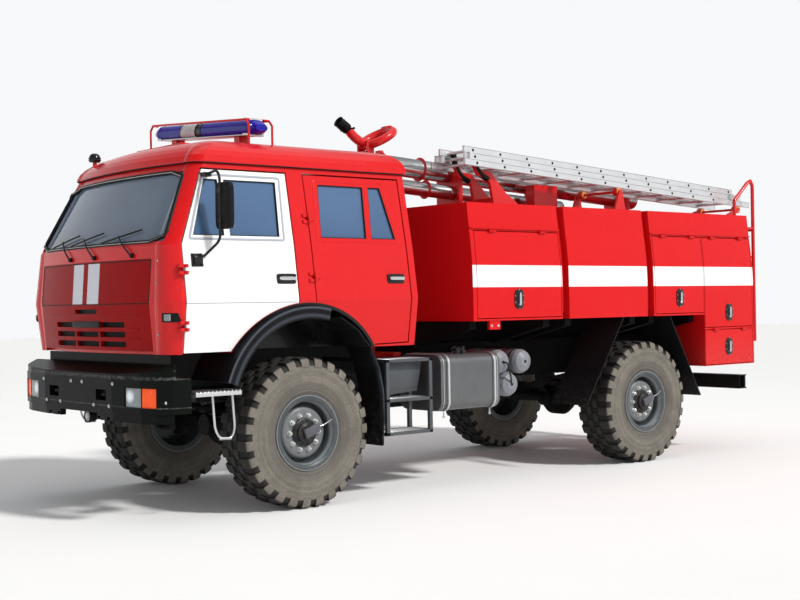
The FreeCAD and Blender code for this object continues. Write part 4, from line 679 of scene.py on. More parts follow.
def make_finishes(red, white):
    """Every finish on the vehicle."""
    shaded_white_mark = (0.62, 0.63, 0.68)
    paint("red_paint", red, spec=0.14, coat=0.04, marks=(("z", *STRIPE_Z, "out", *STRIPE_OUT, white),))
    paint("cab_red", red, spec=0.25, coat=0.10, arch=True)
    # Painted shade: the front panel's red is the body red at half brightness, and its white marks a greyed
    # white, as the front faces away from the key light.
    paint("shaded_front_red", scaled(red, 0.50), spec=0.04, coat=0.0, rough=0.18, dust=0.10,
          marks=[("x", *across, "z", *PANEL_MARK_Z, shaded_white_mark) for across in PANEL_MARKS_X])
    paint("white_paint", white, dust=0.12, shade=0.03, spec=0.4)
    # Painted shade: a greyed copy of the white paint, for the front doors' window pressing.
    paint("shaded_pressing_white", (0.36, 0.38, 0.42), dust=0.12, shade=0.03, spec=0.3)
    paint("gear_red", (red[0], red[1] * 1.6, red[2] * 1.4), rough=0.28, dust=0.06)
    plain("chassis_black", (0.005, 0.005, 0.0055), 0.5, dust=0.05, relief=0.25, spec=0.06)
    plain("engine_iron", (0.05, 0.05, 0.052), 0.6, metal=0.3, relief=0.4, dust=0.1)
    plain("black_plastic", (0.006, 0.006, 0.007), 0.38, relief=0.25, grain=220.0, dust=0.04, spec=0.12)
    plain("gloss_black", (0.007, 0.007, 0.008), 0.20, coat=0.3, relief=0.08, dust=0.04)
    plain("mirror_glass", (0.72, 0.75, 0.78), 0.10, metal=1.0, vary=0.02, relief=0.01, dust=0.0, edge=0)
    plain("step_grey", (0.085, 0.092, 0.10), 0.40, metal=0.5, relief=0.2, dust=0.10)
    plain("tread_metal", (0.60, 0.61, 0.62), 0.34, metal=0.85, vary=0.10, grain=90.0, relief=0.15, dust=0.08)
    plain("wood", (0.55, 0.26, 0.06), 0.5, stretch=(1, 8, 8), relief=0.15, dust=0.1)
    plain("rubber", (0.006, 0.006, 0.006), 0.55, relief=0.2, grain=120.0, dust=0.05)
    plain("chrome", (0.62, 0.63, 0.64), 0.14, metal=1.0, vary=0.05, relief=0.04, dust=0.05)
    plain("aluminium", (0.66, 0.67, 0.68), 0.36, metal=0.75, vary=0.10, grain=90.0, stretch=(1, 0.05, 1),
          dust=0.03)
    # Painted shade: the ladder rails' flanges are near black, for the shade between the stacked rails.
    plain("rail_edge_shade", (0.022, 0.023, 0.025), 0.42, metal=0.2, vary=0.2, dust=0.03)
    plain("tank_metal", (0.125, 0.13, 0.135), 0.36, metal=0.55, vary=0.22, grain=70.0, stretch=(1, 0.06, 1),
          dust=0.14)
    plain("tube_metal", (0.52, 0.53, 0.54), 0.20, metal=1.0, vary=0.18, grain=45.0, stretch=(1, 0.3, 1),
          relief=0.14,
          dust=0.05)
    plain("grey_paint", (0.20, 0.21, 0.235), 0.38, dust_top=1.4)
    plain("guard_grey", (0.075, 0.075, 0.090), 0.36, dust=0.08, spec=0.3)
    plain("nut_steel", (0.62, 0.63, 0.61), 0.30, metal=0.55, dust=0.10)
    plain("dash_plastic", (0.03, 0.032, 0.034), 0.6, relief=0.3, grain=260.0, dust=0.0)
    wheel_finish()
    bumper_finish()
    flap_finish()
    tyre_finish()
    fabric_finish()
    glass_finish("side_glass", (0.060, 0.115, 0.225), (0.105, 0.19, 0.34), 0.22)
    glass_finish("windscreen_glass", (0.12, 0.16, 0.22), (0.22, 0.28, 0.37), 0.28)
    head_lens_finish()
    lens_finish("amber_lens", (0.95, 0.085, 0.002), 0.0, 0.38)
    lens_finish("rear_red_lens", (0.50, 0.008, 0.008), 0.1, 0.05)
    lens_finish("blue_lens", (0.014, 0.008, 0.40), 0.0, 0.05, 24.0)
    lens_finish("white_lens", (0.80, 0.81, 0.82), 0.2, 0.0)


NODE_FINISH = {
    "cab_shell": "cab_red", "cab_roof": "cab_red", "front_panel": "shaded_front_red",
    "cab_door_front": "white_paint", "cab_door_rear": "cab_red", "windscreen": "windscreen_glass",
    "dashboard": "dash_plastic",
    "front_bumper": "bumper_black", "engine_block": "engine_iron", "fuel_tank": "tank_metal",
    "air_tanks": "grey_paint", "battery_box": "black_plastic", "steps": "step_grey",
    "mudguards": "flap_black",
    "ladder_rack": "gear_red", "ladder": "aluminium", "access_ladder": "gear_red",
    "hose_tubes": "tube_metal", "monitor_riser": "gear_red", "monitor_body": "gear_red",
    "monitor_nozzle": "black_plastic", "lamps": "clear_lens", "light_bar": "blue_lens",
    "roof_siren": "black_plastic", "seats": "seat_fabric", "door_glass": "side_glass", "tyre": "tyre_rubber",
    "rim": "wheel_grey", "mirror": "black_plastic", "knuckle": "chassis_black", "front_axle": "chassis_black",
    "rear_axle": "chassis_black", "leaf_springs": "chassis_black", "driveline": "chassis_black",
    "frame_rails": "chassis_black",
}


def dress_nodes():
    """Gives every CAD node the finish whose key its name starts with, or else red paint."""
    for name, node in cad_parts.items():
        finish = next((value for key, value in NODE_FINISH.items() if name.startswith(key)), "red_paint")
        if not node.material_slots:
            node.data.materials.append(FINISHES[finish])
        for place in node.material_slots:
            place.material = FINISHES[finish]


# Wheels

def tyre_surface(lug_count):
    """The tyre about the x axis: a carcass turned from a profile, with rows of raised blocks.

    Each block is a slab between two angles and two widths, whose top lies on the tread radius and whose foot
    lies inside the carcass; the shoulder blocks run on down the side.
    """
    side = [(0.1576, 0.2686), (0.1696, 0.309), (0.184, 0.328), (0.190, 0.338), (0.187, 0.346), (0.192, 0.356),
            (0.196, 0.37), (0.1985, 0.398), (0.2035, 0.406), (0.2045, 0.452), (0.2005, 0.460),
            (0.2045, 0.470),
            (0.204, 0.500), (0.200, 0.532), (0.190, 0.565), (0.172, 0.588), (0.12, 0.595), (0.05, 0.598)]
    parts = [lathe(side + [(-a, r) for a, r in reversed(side)], segments=120)]
    pitch = 2 * math.pi / lug_count

    def lug(start, end, path):
        """A block: rows of (x, outer radius, inner radius) turned between two angles, with sloping ends."""
        x, high, low = np.array(path).T
        ease = np.array((0.003, 0, 0, 0.003))[:, None]
        r = np.concatenate([high - ease, low[::-1] + 0 * ease], 1)
        angle = np.linspace(start * pitch, end * pitch, 4)[:, None]
        across = np.concatenate([x, x[::-1]])
        return capped(np.stack(np.broadcast_arrays(across, r * np.cos(angle), r * np.sin(angle)), -1))
    shoulder = lug(-0.30, 0.26,
                   [(0.078, 0.611, 0.585), (0.12, 0.612, 0.585), (0.165, 0.611, 0.58), (0.184, 0.605, 0.57),
                    (0.197, 0.588, 0.565), (0.2035, 0.562, 0.548), (0.2045, 0.545, 0.533)])
    middle = lug(-0.27, 0.30, [(0.012, 0.612, 0.588), (0.04, 0.6125, 0.588), (0.066, 0.611, 0.588)])
    rows = ((shoulder, 0.0), (middle, 0.42), (mirrored(shoulder), 0.5), (mirrored(middle), 0.92))
    parts += [turned(block, (k + shift) * pitch) for k in range(lug_count) for block, shift in rows]
    return joined(parts)


def rim_surface():
    """The rim, dish, hub and its ring of bolts about the x axis, outer side towards +x."""
    barrel = [(-0.182, 0.307), (-0.1705, 0.307), (-0.1585, 0.268), (0.1585, 0.268), (0.1705, 0.307),
              (0.1825, 0.3075),
              (0.183, 0.300), (0.1745, 0.262), (0.168, 0.256), (0.150, 0.252), (0.10, 0.246), (0.06, 0.244),
              (-0.1503, 0.252), (-0.172, 0.258)]
    dish = [(0.116, 0.075), (0.120, 0.078), (0.121, 0.170), (0.119, 0.196), (0.108, 0.208), (0.084, 0.222),
            (0.064, 0.250), (0.050, 0.250), (0.072, 0.216), (0.098, 0.200), (0.104, 0.170), (0.100, 0.075)]
    hub = [(-0.03, 0.0452), (-0.03, 0.12), (0.08, 0.12), (0.119, 0.116), (0.138, 0.114), (0.142, 0.106),
           (0.146, 0.083), (0.166, 0.081), (0.170, 0.070), (0.1535, 0.068), (0.1535, 0.0452)]
    cap = [(0.155, 0.0), (0.155, 0.0695), (0.171, 0.0695), (0.175, 0.060), (0.176, 0.0)]
    head = [(0.136, 0.0), (0.136, 0.009), (0.1475, 0.009), (0.1485, 0.006), (0.1485, 0.0)]
    turns = ((barrel, 96), (dish, 72), (hub, 64), (cap, 40))
    parts = [lathe(profile, segments=count) for profile, count in turns]
    hub_bolt = lathe(head, (0, 0.097, 0), segments=6)
    parts += [turned(hub_bolt, 2 * math.pi * (k + 0.5) / 12) for k in range(12)]
    return joined(parts)


def nut_ring():
    """Ten wheel nuts with washers and stud ends about the x axis."""
    washer = [(0.118, 0.0), (0.118, 0.021), (0.123, 0.0215), (0.124, 0.0)]
    nut = [(0.122, 0.0), (0.122, 0.017), (0.146, 0.017), (0.149, 0.012), (0.149, 0.0)]
    stud = [(0.145, 0.0), (0.145, 0.0085), (0.156, 0.0085), (0.158, 0.006), (0.158, 0.0)]
    turns = ((washer, 20), (nut, 6), (stud, 12))
    one = joined([lathe(profile, (0, 0.142, 0), segments=count) for profile, count in turns])
    return joined([turned(one, 2 * math.pi * k / 10) for k in range(10)])


def valve_guard():
    """The box over the air valve on the hub, and the pipe from it to the rim."""
    foot = plate([(-0.040, -0.035), (0.040, -0.035), (0.036, 0.10), (0.014, 0.125), (-0.014, 0.125),
                  (-0.036, 0.10)],
                 "x", 0.174, 0.200)
    path = [(0.188, 0.0, 0.11), (0.190, 0.005, 0.17), (0.184, 0.005, 0.22), (0.172, 0.005, 0.262)]
    pipe = sweep(rounded_path(path, 0.03), 0.0065, 10)
    return [turned(part, math.radians(-68)) for part in (foot, pipe)]


def build_wheels(lugs):
    """Tyre, rim, nuts and valve guard of each wheel, moved from the origin to its hub."""
    guard, pipe = valve_guard()
    fittings = (("wheel_nuts", nut_ring(), "nut_steel", "wheel_grey", {"smooth": 30}),
                ("valve_guard", guard, "guard_grey", "chassis_black", {"bevel": 0.004}),
                ("valve_pipe", pipe, "chrome", "chassis_black", {}))
    tyre, rim = tyre_surface(lugs), rim_surface()
    for end, y in (("front", at(0)), ("rear", at(WHEELBASE))):
        def put_wheel(name, part, material, slot, replaces=(), **look):
            placed = np.asarray(part[0]) + (HUB_X, y, HUB_Z), part[1]
            put_pair(f"{name}_{end}_{{}}", placed, material, f"wheel_{end}_{{}}", slot, replaces, **look)
        put_wheel("road_tyre", tyre, "tyre_rubber", "tyre_rubber", (f"tyre_{end}_{{}}",), smooth=32)
        put_wheel("road_rim", rim, "wheel_grey", "wheel_grey", (f"rim_{end}_{{}}",))
        for name, part, material, slot, look in fittings:
            put_wheel(name, part, material, slot, **look)


# Cab trim

WINDOW_LOW, WINDOW_TOP = 2.195, 2.64
PRESSING_LOW, PRESSING_TOP = 2.165, 2.672
WIPER_PLACES_X = (-0.29, 0.15, 0.71)
WIPER_REACH = 0.24
HANDLE_Z = 1.860
# Name, place and height of each locker handle
LOCKER_HANDLES = (("front_locker_door", 2.373, 1.669), ("rear_locker_door_a", 4.717, 1.659),
                  ("rear_locker_door_b", 5.546, 1.495), ("low_locker_door", 5.536, 1.129))


def window_path(corners, offset):
    """A closed path round a side window: eased corners in (place, z), x this far out from the cab's side."""
    p = np.array(corners, float)
    t = np.linspace(0, 1, 6)[:, None]
    loop = []
    for before, here, after in zip(np.roll(p, 1, 0), p, np.roll(p, -1, 0)):
        cut = min(0.022, 0.3 * np.linalg.norm(before - here), 0.3 * np.linalg.norm(after - here))
        loop.append(eased_corner(before, here, after, cut, t))
    return np.array([(side_x(z) + offset, at(y), z) for y, z in np.concatenate(loop)])


def build_seals():
    """Rubber round the door windows and the windscreen."""
    low, top = WINDOW_LOW, WINDOW_TOP
    windows = {"front": ([(-1.010, low), (-0.858, top), (-0.735, top), (-0.728, low)],
                         [(-0.676, low), (-0.680, top), (-0.190, top), (-0.212, low)]),
               "rear": ([(0.200, low), (0.232, top), (0.704, top), (0.674, low)],
                        [(0.726, low), (0.762, top), (0.890, top), (0.990, low)])}
    for label, panes in windows.items():
        rubber = joined([sweep(window_path(p, -0.008), 0.0075, 10, closed=True, up=X_AXIS) for p in panes])
        put_pair(f"window_rubber_{label}_{{}}", rubber, "rubber", f"door_{label}_{{}}", "black_plastic")
    corners = [(-1.075, 2.15), (-0.935, 2.705), (0.935, 2.705), (1.075, 2.15)]
    share = np.linspace(0, 1, 26)[2:-2]
    path = [(x0 + (x1 - x0) * k, z0 + (z1 - z0) * k)
            for (x0, z0), (x1, z1) in zip(corners, corners[1:] + corners[:1]) for k in share]
    points = np.array([(x, front_y(x, z) + 0.004, z) for x, z in path])
    put("windscreen_rubber", sweep(points, 0.017, 10, closed=True), "rubber", "chassis", "black_plastic")
    put("windscreen_bead", sweep(points - (0, 0.0135, 0), 0.0035, 8, closed=True), "nut_steel", "chassis",
        "aluminium")


def build_wipers():
    """Three wipers, each a pivot, an arm and a blade that lies along the glass."""
    low, high, slope = 2.05, 2.21, 0.16
    hub = [(0.03, 0), (0.03, 0.020), (-0.018, 0.018), (-0.024, 0.010), (-0.024, 0)]
    parts = []
    for x in WIPER_PLACES_X:
        tip = x - WIPER_REACH
        pivot = np.array((x, front_y(x, low) - 0.004, low))
        far = np.array((tip, front_y(tip, high) - 0.024, high))
        arm = [pivot + (0, -0.018, 0), (pivot + far) / 2 + (0, -0.030, 0.01), far]
        d = np.linspace(-0.26, 0.26, 14)
        blade = front_points(tip + d, high + slope * d, 0.004)
        parts += [lathe(hub, pivot, "y", 20), sweep(rounded_path(arm, 0.1), 0.0065, 8),
                  sweep(blade, 0.0065, 8)]
    put("wipers", joined(parts), "rubber", "chassis", "black_plastic")


def build_handles():
    """Door handles: a black dished base and a bright lever, across on the cab and upright on the lockers."""
    z, x = HANDLE_Z, side_x(HANDLE_Z)
    for label, y in (("front", at(-0.19)), ("rear", at(0.94))):
        base = plate(disc_outline((y, z - 0.002), 0.092, 0.041, 48, 8.0), "x", x - 0.006, x + 0.0105)
        pivot = lathe([(0.0, 0.0), (0.0, 0.012), (0.016, 0.011), (0.018, 0.0)], (x, y + 0.078, z), "x", 24)
        grip = plate(disc_outline((y - 0.005, z + 0.002), 0.072, 0.0150, 40, 5.0), "x", x + 0.004, x + 0.0325)
        lever = joined([grip, pivot])
        body = f"door_{label}_{{}}"
        put_pair(f"handle_base_{label}_{{}}", base, "gloss_black", body, "black_plastic", bevel=0.003)
        put_pair(f"handle_lever_{label}_{{}}", lever, "chrome", body, "aluminium", bevel=0.004)
    screw_places = ((0.0, 0.086), (0.0, -0.086), (0.052, 0.03), (-0.052, 0.03), (0.052, -0.03),
                    (-0.052, -0.03))
    knob_profile = [(0.0, 0.0), (0.0, 0.016), (0.024, 0.014), (0.027, 0.010), (0.027, 0.0)]
    for door, place, z in LOCKER_HANDLES:
        x, y = body_x(z), at(place)
        rim = plate(disc_outline((y, z), 0.060, 0.092, 60, 2.8), "x", x - 0.002, x + 0.0075)
        bowl = plate(disc_outline((y, z), 0.050, 0.081, 60, 2.8), "x", x + 0.007, x + 0.0082)
        lever = plate(disc_outline((y, z), 0.0115, 0.060, 36, 4.0), "x", x + 0.004, x + 0.0262)
        knob = lathe(knob_profile, (x, y, z - 0.046), "x", 24)
        screws = [bolt((x + 0.007, y + a, z + b), "x", 0.005, 0.004) for a, b in screw_places]
        body, bright = f"{door}_{{}}", joined([lever, knob] + screws)
        put_pair(f"{door}_dish_{{}}", joined([rim, bowl]), "gloss_black", body, "black_plastic", bevel=0.002)
        put_pair(f"{door}_lever_{{}}", bright, "chrome", body, "aluminium", bevel=0.002)


# Lamps

LAMP_LOW, LAMP_HIGH = 0.887, 1.036
LAMP_INNER, LAMP_MIDDLE, LAMP_OUTER = 0.777, 0.984, 1.146
CORNER_LAMP_Z = 1.567
WORK_LAMP = (0.05, 0.06, 0.775)
BULB = 0.008


def bumper_y(x):
    """Y of the bumper's face at x, straight between the corners of its plan."""
    nose = at(BUMPER_NOSE)
    return nose + np.interp(np.abs(x), (0, 0.6, 0.98, 1.15, 1.225), (0, 0, 0.04, 0.085, 0.19))


def face_grid(x0, x1, z0, z1, depth, bulge=0.0, rows=10, columns=24):
    """A lens over the bumper: y = face + depth - bulge (1 - |2u-1|^6)(1 - |2v-1|^6), u across, v up."""
    u, v = np.meshgrid(np.linspace(0, 1, columns), np.linspace(0, 1, rows))
    x, z = x0 + (x1 - x0) * u, z0 + (z1 - z0) * v
    swell = (1 - np.abs(2 * u - 1) ** 6) * (1 - np.abs(2 * v - 1) ** 6)
    return np.stack([x, bumper_y(x) + depth - bulge * swell, z], -1)


def corner_patch(x, z, out_front, out_back):
    """A slab over the cab's corner arc, between two values of x, of z and of the distance from the arc."""
    centre, radius = corner_arc(CORNER_LAMP_Z)

    def layer(out):
        across, up = np.meshgrid(np.linspace(*x, 12), np.linspace(*z, 6))
        y = centre[1] - np.sqrt(np.maximum((radius + out) ** 2 - (across - centre[0]) ** 2, 0.0))
        return np.stack([across, at(y), up], -1)
    return slab(layer(out_front), layer(out_back))


def head_lamp():
    """One side's head lamp and indicator: the lenses, the case round them and the two reflectors."""
    low, high, inner, middle, outer = LAMP_LOW, LAMP_HIGH, LAMP_INNER, LAMP_MIDDLE, LAMP_OUTER

    def lens(x0, x1):
        return slab(face_grid(x0, x1, low, high, 0.012, 0.008), face_grid(x0, x1, low, high, 0.018, 0.006))
    whole = (inner - 0.003, outer + 0.003, low - 0.003, high + 0.003)
    cases = [slab(face_grid(*whole, 0.068), face_grid(*whole, 0.076))]
    for wall in ((inner - 0.003, outer + 0.003, low - 0.004, low + 0.001),
                 (inner - 0.003, outer + 0.003, high - 0.001, high + 0.004),
                 (inner - 0.004, inner + 0.001, low, high),
                 (middle - 0.001, middle + 0.004, low, high), (outer - 0.001, outer + 0.004, low, high)):
        cases.append(slab(face_grid(*wall, 0.006, rows=2, columns=8),
                          face_grid(*wall, 0.070, rows=2, columns=8)))
    bowl = [(0.0, 0.0), (0.0, 0.012), (-0.012, 0.024), (-0.040, 0.046), (-0.042, 0.049), (-0.036, 0.049),
            (0.004, 0.02),
            (0.004, 0.0)]
    mirrors = []
    for x in (inner + 0.054, middle - 0.054):
        y, z = float(bumper_y(x)) + 0.066, (low + high) / 2
        mirrors.append(lathe(bowl, (x, y, z), "y", 40))
        mirrors.append(pillow((x, y - 2 * BULB, z), (BULB, 2 * BULB, BULB), 2.0, 8, 14))
    return lens(inner, middle), lens(middle + 0.003, outer), cases, mirrors


def build_lamps():
    """Head lamps, indicators, corner lamps, work lamp and rear lamps."""
    clear, amber, cases, mirrors = head_lamp()
    cases.append(corner_patch((1.108, 1.204), (1.533, 1.602), 0.006, -0.004))
    corner_lens = corner_patch((1.135, 1.170), (1.543, 1.592), 0.016, 0.005)
    place = (WORK_LAMP[0], at(BUMPER_NOSE) + WORK_LAMP[1], WORK_LAMP[2])
    shell = [(0.086, 0.0), (0.084, 0.030), (0.060, 0.048), (0.012, 0.0545), (0.001, 0.0545), (0.0, 0.048),
             (0.006, 0.046),
             (0.058, 0.040), (0.060, 0.0)]
    bowl = [(0.052, 0.0), (0.046, 0.020), (0.012, 0.044), (0.010, 0.044), (0.046, 0.012), (0.048, 0.0)]
    glass = [(-0.004, 0.0), (-0.002, 0.022), (0.006, 0.0455), (0.010, 0.0455), (0.002, 0.022), (0.001, 0.0)]
    back = at(BODY_REAR)
    rear_case = box((0.88, 1.12), (back, back + 0.022), (0.655, 0.795))
    dark = joined([both(joined(cases)), lathe(shell, place, "y", 40), both(rear_case)])
    bright = joined([both(joined(mirrors)), lathe(bowl, place, "y", 40)])
    lenses = joined([both(joined([clear, corner_lens])), lathe(glass, place, "y", 40)])
    put("lamp_cases", dark, "black_plastic", "chassis", "black_plastic", ("lamps",), bevel=0.0015)
    put("lamp_mirrors", bright, "chrome", "chassis", "aluminium", smooth=50)
    put("clear_lenses", lenses, "clear_lens", "chassis", "lamp_lens")
    put("indicator_lenses", both(amber), "amber_lens", "chassis", "lamp_lens")
    for x, tone in ((0.92, "rear_red_lens"), (1.0, "amber_lens"), (1.08, "white_lens")):
        lens = pillow((x, back + 0.022, 0.725), (0.036, 0.012, 0.052), 6.0, 14, 28)
        put(f"rear_{tone}", both(lens), tone, "chassis", "lamp_lens")


def light_section(size=1.0):
    """The light bar's rounded section, a closed ring of (y, z) about its middle, narrower upwards."""
    ring = disc_outline((0, 0), 0.090, 0.064, 36, 3.4)
    narrow = 1 - 0.24 * np.clip(ring[:, 1] / 0.064, 0, 1)
    return np.stack([ring[:, 0] * narrow, ring[:, 1]], 1) * size


def light_ring(x, size=1.0):
    """The light bar's section at x, as points in space."""
    ring = light_section(size)
    return np.stack([np.full(len(ring), x), at(LIGHT_BAR_PLACE) + ring[:, 0], ring[:, 1]], 1)


def lens_run(x0, x1, closed_low=False, closed_high=False):
    """A length of lens: the section carried along x, drawn in over a free end's 100 mm to 0.4 of its size."""
    taper, drawn = 0.10, 0.6
    end = taper * (1 - np.cos(np.linspace(0, math.pi / 2, 7)))
    x = np.concatenate([x0 + end, np.linspace(x0 + 0.11, x1 - 0.11, 12), x1 - end[::-1]])
    scale = np.ones(len(x))
    if closed_low:
        scale -= drawn * np.clip(1 - (x - x0) / taper, 0, 1) ** 1.3
    if closed_high:
        scale -= drawn * np.clip(1 - (x1 - x) / taper, 0, 1) ** 1.3
    ring, scale = light_section(), scale[:, None]
    y = at(LIGHT_BAR_PLACE) + ring[None, :, 0] * (0.35 + 0.65 * scale)
    z = ring[None, :, 1] * scale - 0.010 * (1 - scale)
    return capped(np.stack(np.broadcast_arrays(x[:, None], y, z), -1))


def build_light_bar():
    """The blue light bar: two blue lenses, a clear one between, a dark divider and a slim bright base."""
    lo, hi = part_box("light_bar")
    half, middle, y = LIGHT_BAR_HALF, (lo.z + hi.z) / 2, at(LIGHT_BAR_PLACE)
    white_from, white_to, blue_from = (-half + share * 2 * half for share in (0.30, 0.45, 0.505))

    def put_leaning(name, parts, material, slot, replaces=(), **look):
        v, f = joined(parts)
        leaning = turned((v + (0, 0, middle), f), math.radians(LIGHT_BAR_LEAN), Y_AXIS, (0, 0, middle))
        put(name, leaning, material, "chassis", slot, replaces, **look)
    blue = [lens_run(-half, white_from, closed_low=True), lens_run(blue_from, half, closed_high=True)]
    put_leaning("blue_lenses", blue, "blue_lens", "blue_lens", ("light_bar",))
    put_leaning("white_lens", [lens_run(white_from + 0.001, white_to)], "white_lens", "lamp_lens")
    core = capped(np.array([light_ring(x, 0.97) for x in (white_to + 0.001, blue_from - 0.001)]))
    seams = [sweep(light_ring(x, 0.97 * 1.035), 0.0035, 8, closed=True)
             for x in (white_from, white_to, blue_from)]
    put_leaning("light_bar_dividers", [core] + seams, "gloss_black", "black_plastic")
    base = [box((0.12 - half, half - 0.12), (y - 0.080, y + 0.080), (-0.0705, -0.060))]
    base += [box((x - 0.03, x + 0.03), (y - 0.088, y + 0.088), (-0.072, -0.052))
             for x in (0.13 - half, half - 0.13)]
    put_leaning("light_bar_base", base, "tread_metal", "aluminium", bevel=0.003)
    clips = [lathe([(0, 0), (0, 0.012), (0.012, 0.010), (0.014, 0.0)], (x, y - 0.062, 0.012), "y", 20, -1)
             for x in (0.060 - half, half - 0.060)]
    put_leaning("light_bar_clips", clips, "chrome", "aluminium")


def build_roof_horn():
    """The round horn on its post: a drum with a domed grille, a rim and cooling ribs, turned about z."""
    lo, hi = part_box("roof_siren")
    r = (hi.x - lo.x) / 2
    steps = ((0.0, 0.0), (0.0, 0.78), (0.018, 1.0), (0.024, 1.0), (0.026, 0.93), (0.032, 0.93), (0.034, 1.0),
             (0.040, 1.0),
             (0.042, 0.9), (0.055, 0.84), (0.068, 0.68), (0.078, 0.42), (0.082, 0.0))
    middle = ((lo.x + hi.x) / 2, (lo.y + hi.y) / 2, lo.z)
    drum = lathe([(up, share * r) for up, share in steps], middle, "z", 48)
    put("roof_horn", drum, "gloss_black", "chassis", "black_plastic", ("roof_siren",), smooth=50)


# Mirrors

MIRROR_MIDDLE = (1.304, at(-0.818), 2.415)
MIRROR_TURN = math.radians(12.0)
MIRROR_FOOT_Z = 2.0


def build_mirrors():
    """Door mirrors: a soft-cornered head and its glass, on a bent arm with clamps, a foot and a clip."""
    middle = np.array(MIRROR_MIDDLE)
    head = turned(pillow(middle, (0.0825, 0.0275, 0.180), 7.0, 26, 52), MIRROR_TURN, Z_AXIS, middle)
    x, y, _ = middle
    glass = turned(box((x - 0.070, x + 0.070), (y + 0.026, y + 0.0285), (2.252, 2.578)), MIRROR_TURN, Z_AXIS,
                   middle)
    x, y = x - 0.019, y - 0.0315
    arm = [(1.189, at(-1.0), 2.010), (1.225, at(-0.960), 2.030), (x, y, 2.150), (x, y, 2.640),
           (x - 0.040, y, 2.690),
           (1.085, y, 2.668)]
    parts = [sweep(rounded_path(arm, 0.05, 8), 0.0108, 14)]
    parts += [box((x - 0.02, x + 0.02), (y - 0.012, y + 0.012), (z - 0.016, z + 0.016)) for z in (2.30, 2.53)]
    lean = (side_x(2.1) - side_x(1.9)) / 0.2

    def on_side(x0, x1, y, z):
        """A box on the door's side, leaning as the side does."""
        v, f = box((side_x(MIRROR_FOOT_Z) + x0, side_x(MIRROR_FOOT_Z) + x1), y, z)
        v[:, 0] += lean * (v[:, 2] - MIRROR_FOOT_Z)
        return v, f
    parts.append(on_side(-0.006, 0.008, (at(-1.047), at(-0.948)), (1.953, 2.052)))
    parts.append(on_side(-0.002, 0.026, (at(-1.03), at(-0.965)), (1.975, 2.032)))
    parts.append(box((1.034, 1.123), (at(-0.881), at(-0.819)), (2.651, 2.685)))
    parts += [bolt((side_x(z) + 0.007, at(place), z), "x", 0.009, 0.007)
              for place in (-1.035, -0.960) for z in (1.965, 2.040)]
    door = "door_front_{}"
    put_pair("mirror_arm_{}", joined(parts), "gloss_black", door, "black_plastic", ("mirror_{}",),
             bevel=0.003)
    put_pair("mirror_head_{}", head, "black_plastic", door, "black_plastic", smooth=60)
    put_pair("mirror_glass_{}", glass, "mirror_glass", door, "glass", bevel=0.001)


# Roof water cannon and hose tubes

AXLE_Z = 3.040 + SEAT_GAP + 0.130
AXLE_LIFT = 0.130
NOZZLE_RISE = math.radians(31.6)
TUBE_START, TUBE_SLOPE = 1.45, 0.06
# Middle's x, start's z, radius and end of each hose tube
HOSE_TUBES = ((0.215, 2.975, 0.095, 5.2), (0.300, 2.775, 0.070, 3.95))


def cannon_loop():
    """The slewing base: a turned foot with bolts, a ring pipe with a crown, and a fork to the axle."""
    y, low, inner, outer = at(MONITOR_PLACE), AXLE_Z - AXLE_LIFT, 0.058, 0.078
    foot = [(0.0, 0.0), (0.0, 0.088), (0.018, 0.088), (0.021, 0.080), (0.021, 0.060), (0.050, 0.056),
            (0.060, 0.050),
            (0.060, 0.0)]
    parts = [lathe([(low + up, r) for up, r in foot], (0, y, 0), "z", 48)]
    parts += [bolt((0.074 * math.cos(a), y + 0.074 * math.sin(a), low + 0.018), "z", 0.008, 0.008)
              for a in np.linspace(0, 2 * math.pi, 8, endpoint=False)]
    tilt = np.array((0, -math.sin(MONITOR_TILT), math.cos(MONITOR_TILT)))
    t = np.linspace(0, 2 * math.pi, 64, endpoint=False)[:, None]
    centre, ahead = np.array((0.0, y + 0.145, AXLE_Z + 0.07)), np.cross(X_AXIS, tilt)
    ring = centre + 0.165 * (np.cos(t) * X_AXIS + np.sin(t) * ahead)
    rear = ring[np.argsort(-ring[:, 1])[:9]]
    parts.append(sweep(ring, 0.0415, 28, closed=True, up=tilt))
    parts.append(sweep(rear[np.argsort(rear[:, 0])] + tilt * 0.030, 0.024, 16))
    sides, deep = (-1, 1), (y - 0.043, y + 0.043)
    parts += [sweep([(s * inner, y, AXLE_Z), (s * outer, y, AXLE_Z)], 0.0425, 32) for s in sides]
    parts += [box((s * 0.068 - 0.0102, s * 0.068 + 0.0102), deep, (low + 0.037, AXLE_Z)) for s in sides]
    parts.append(box((-outer, outer), deep, (low + 0.037, low + 0.061)))
    parts += [bolt((s * outer, y, AXLE_Z), "x" if s > 0 else "-x", 0.019, 0.012) for s in sides]
    return joined(parts)


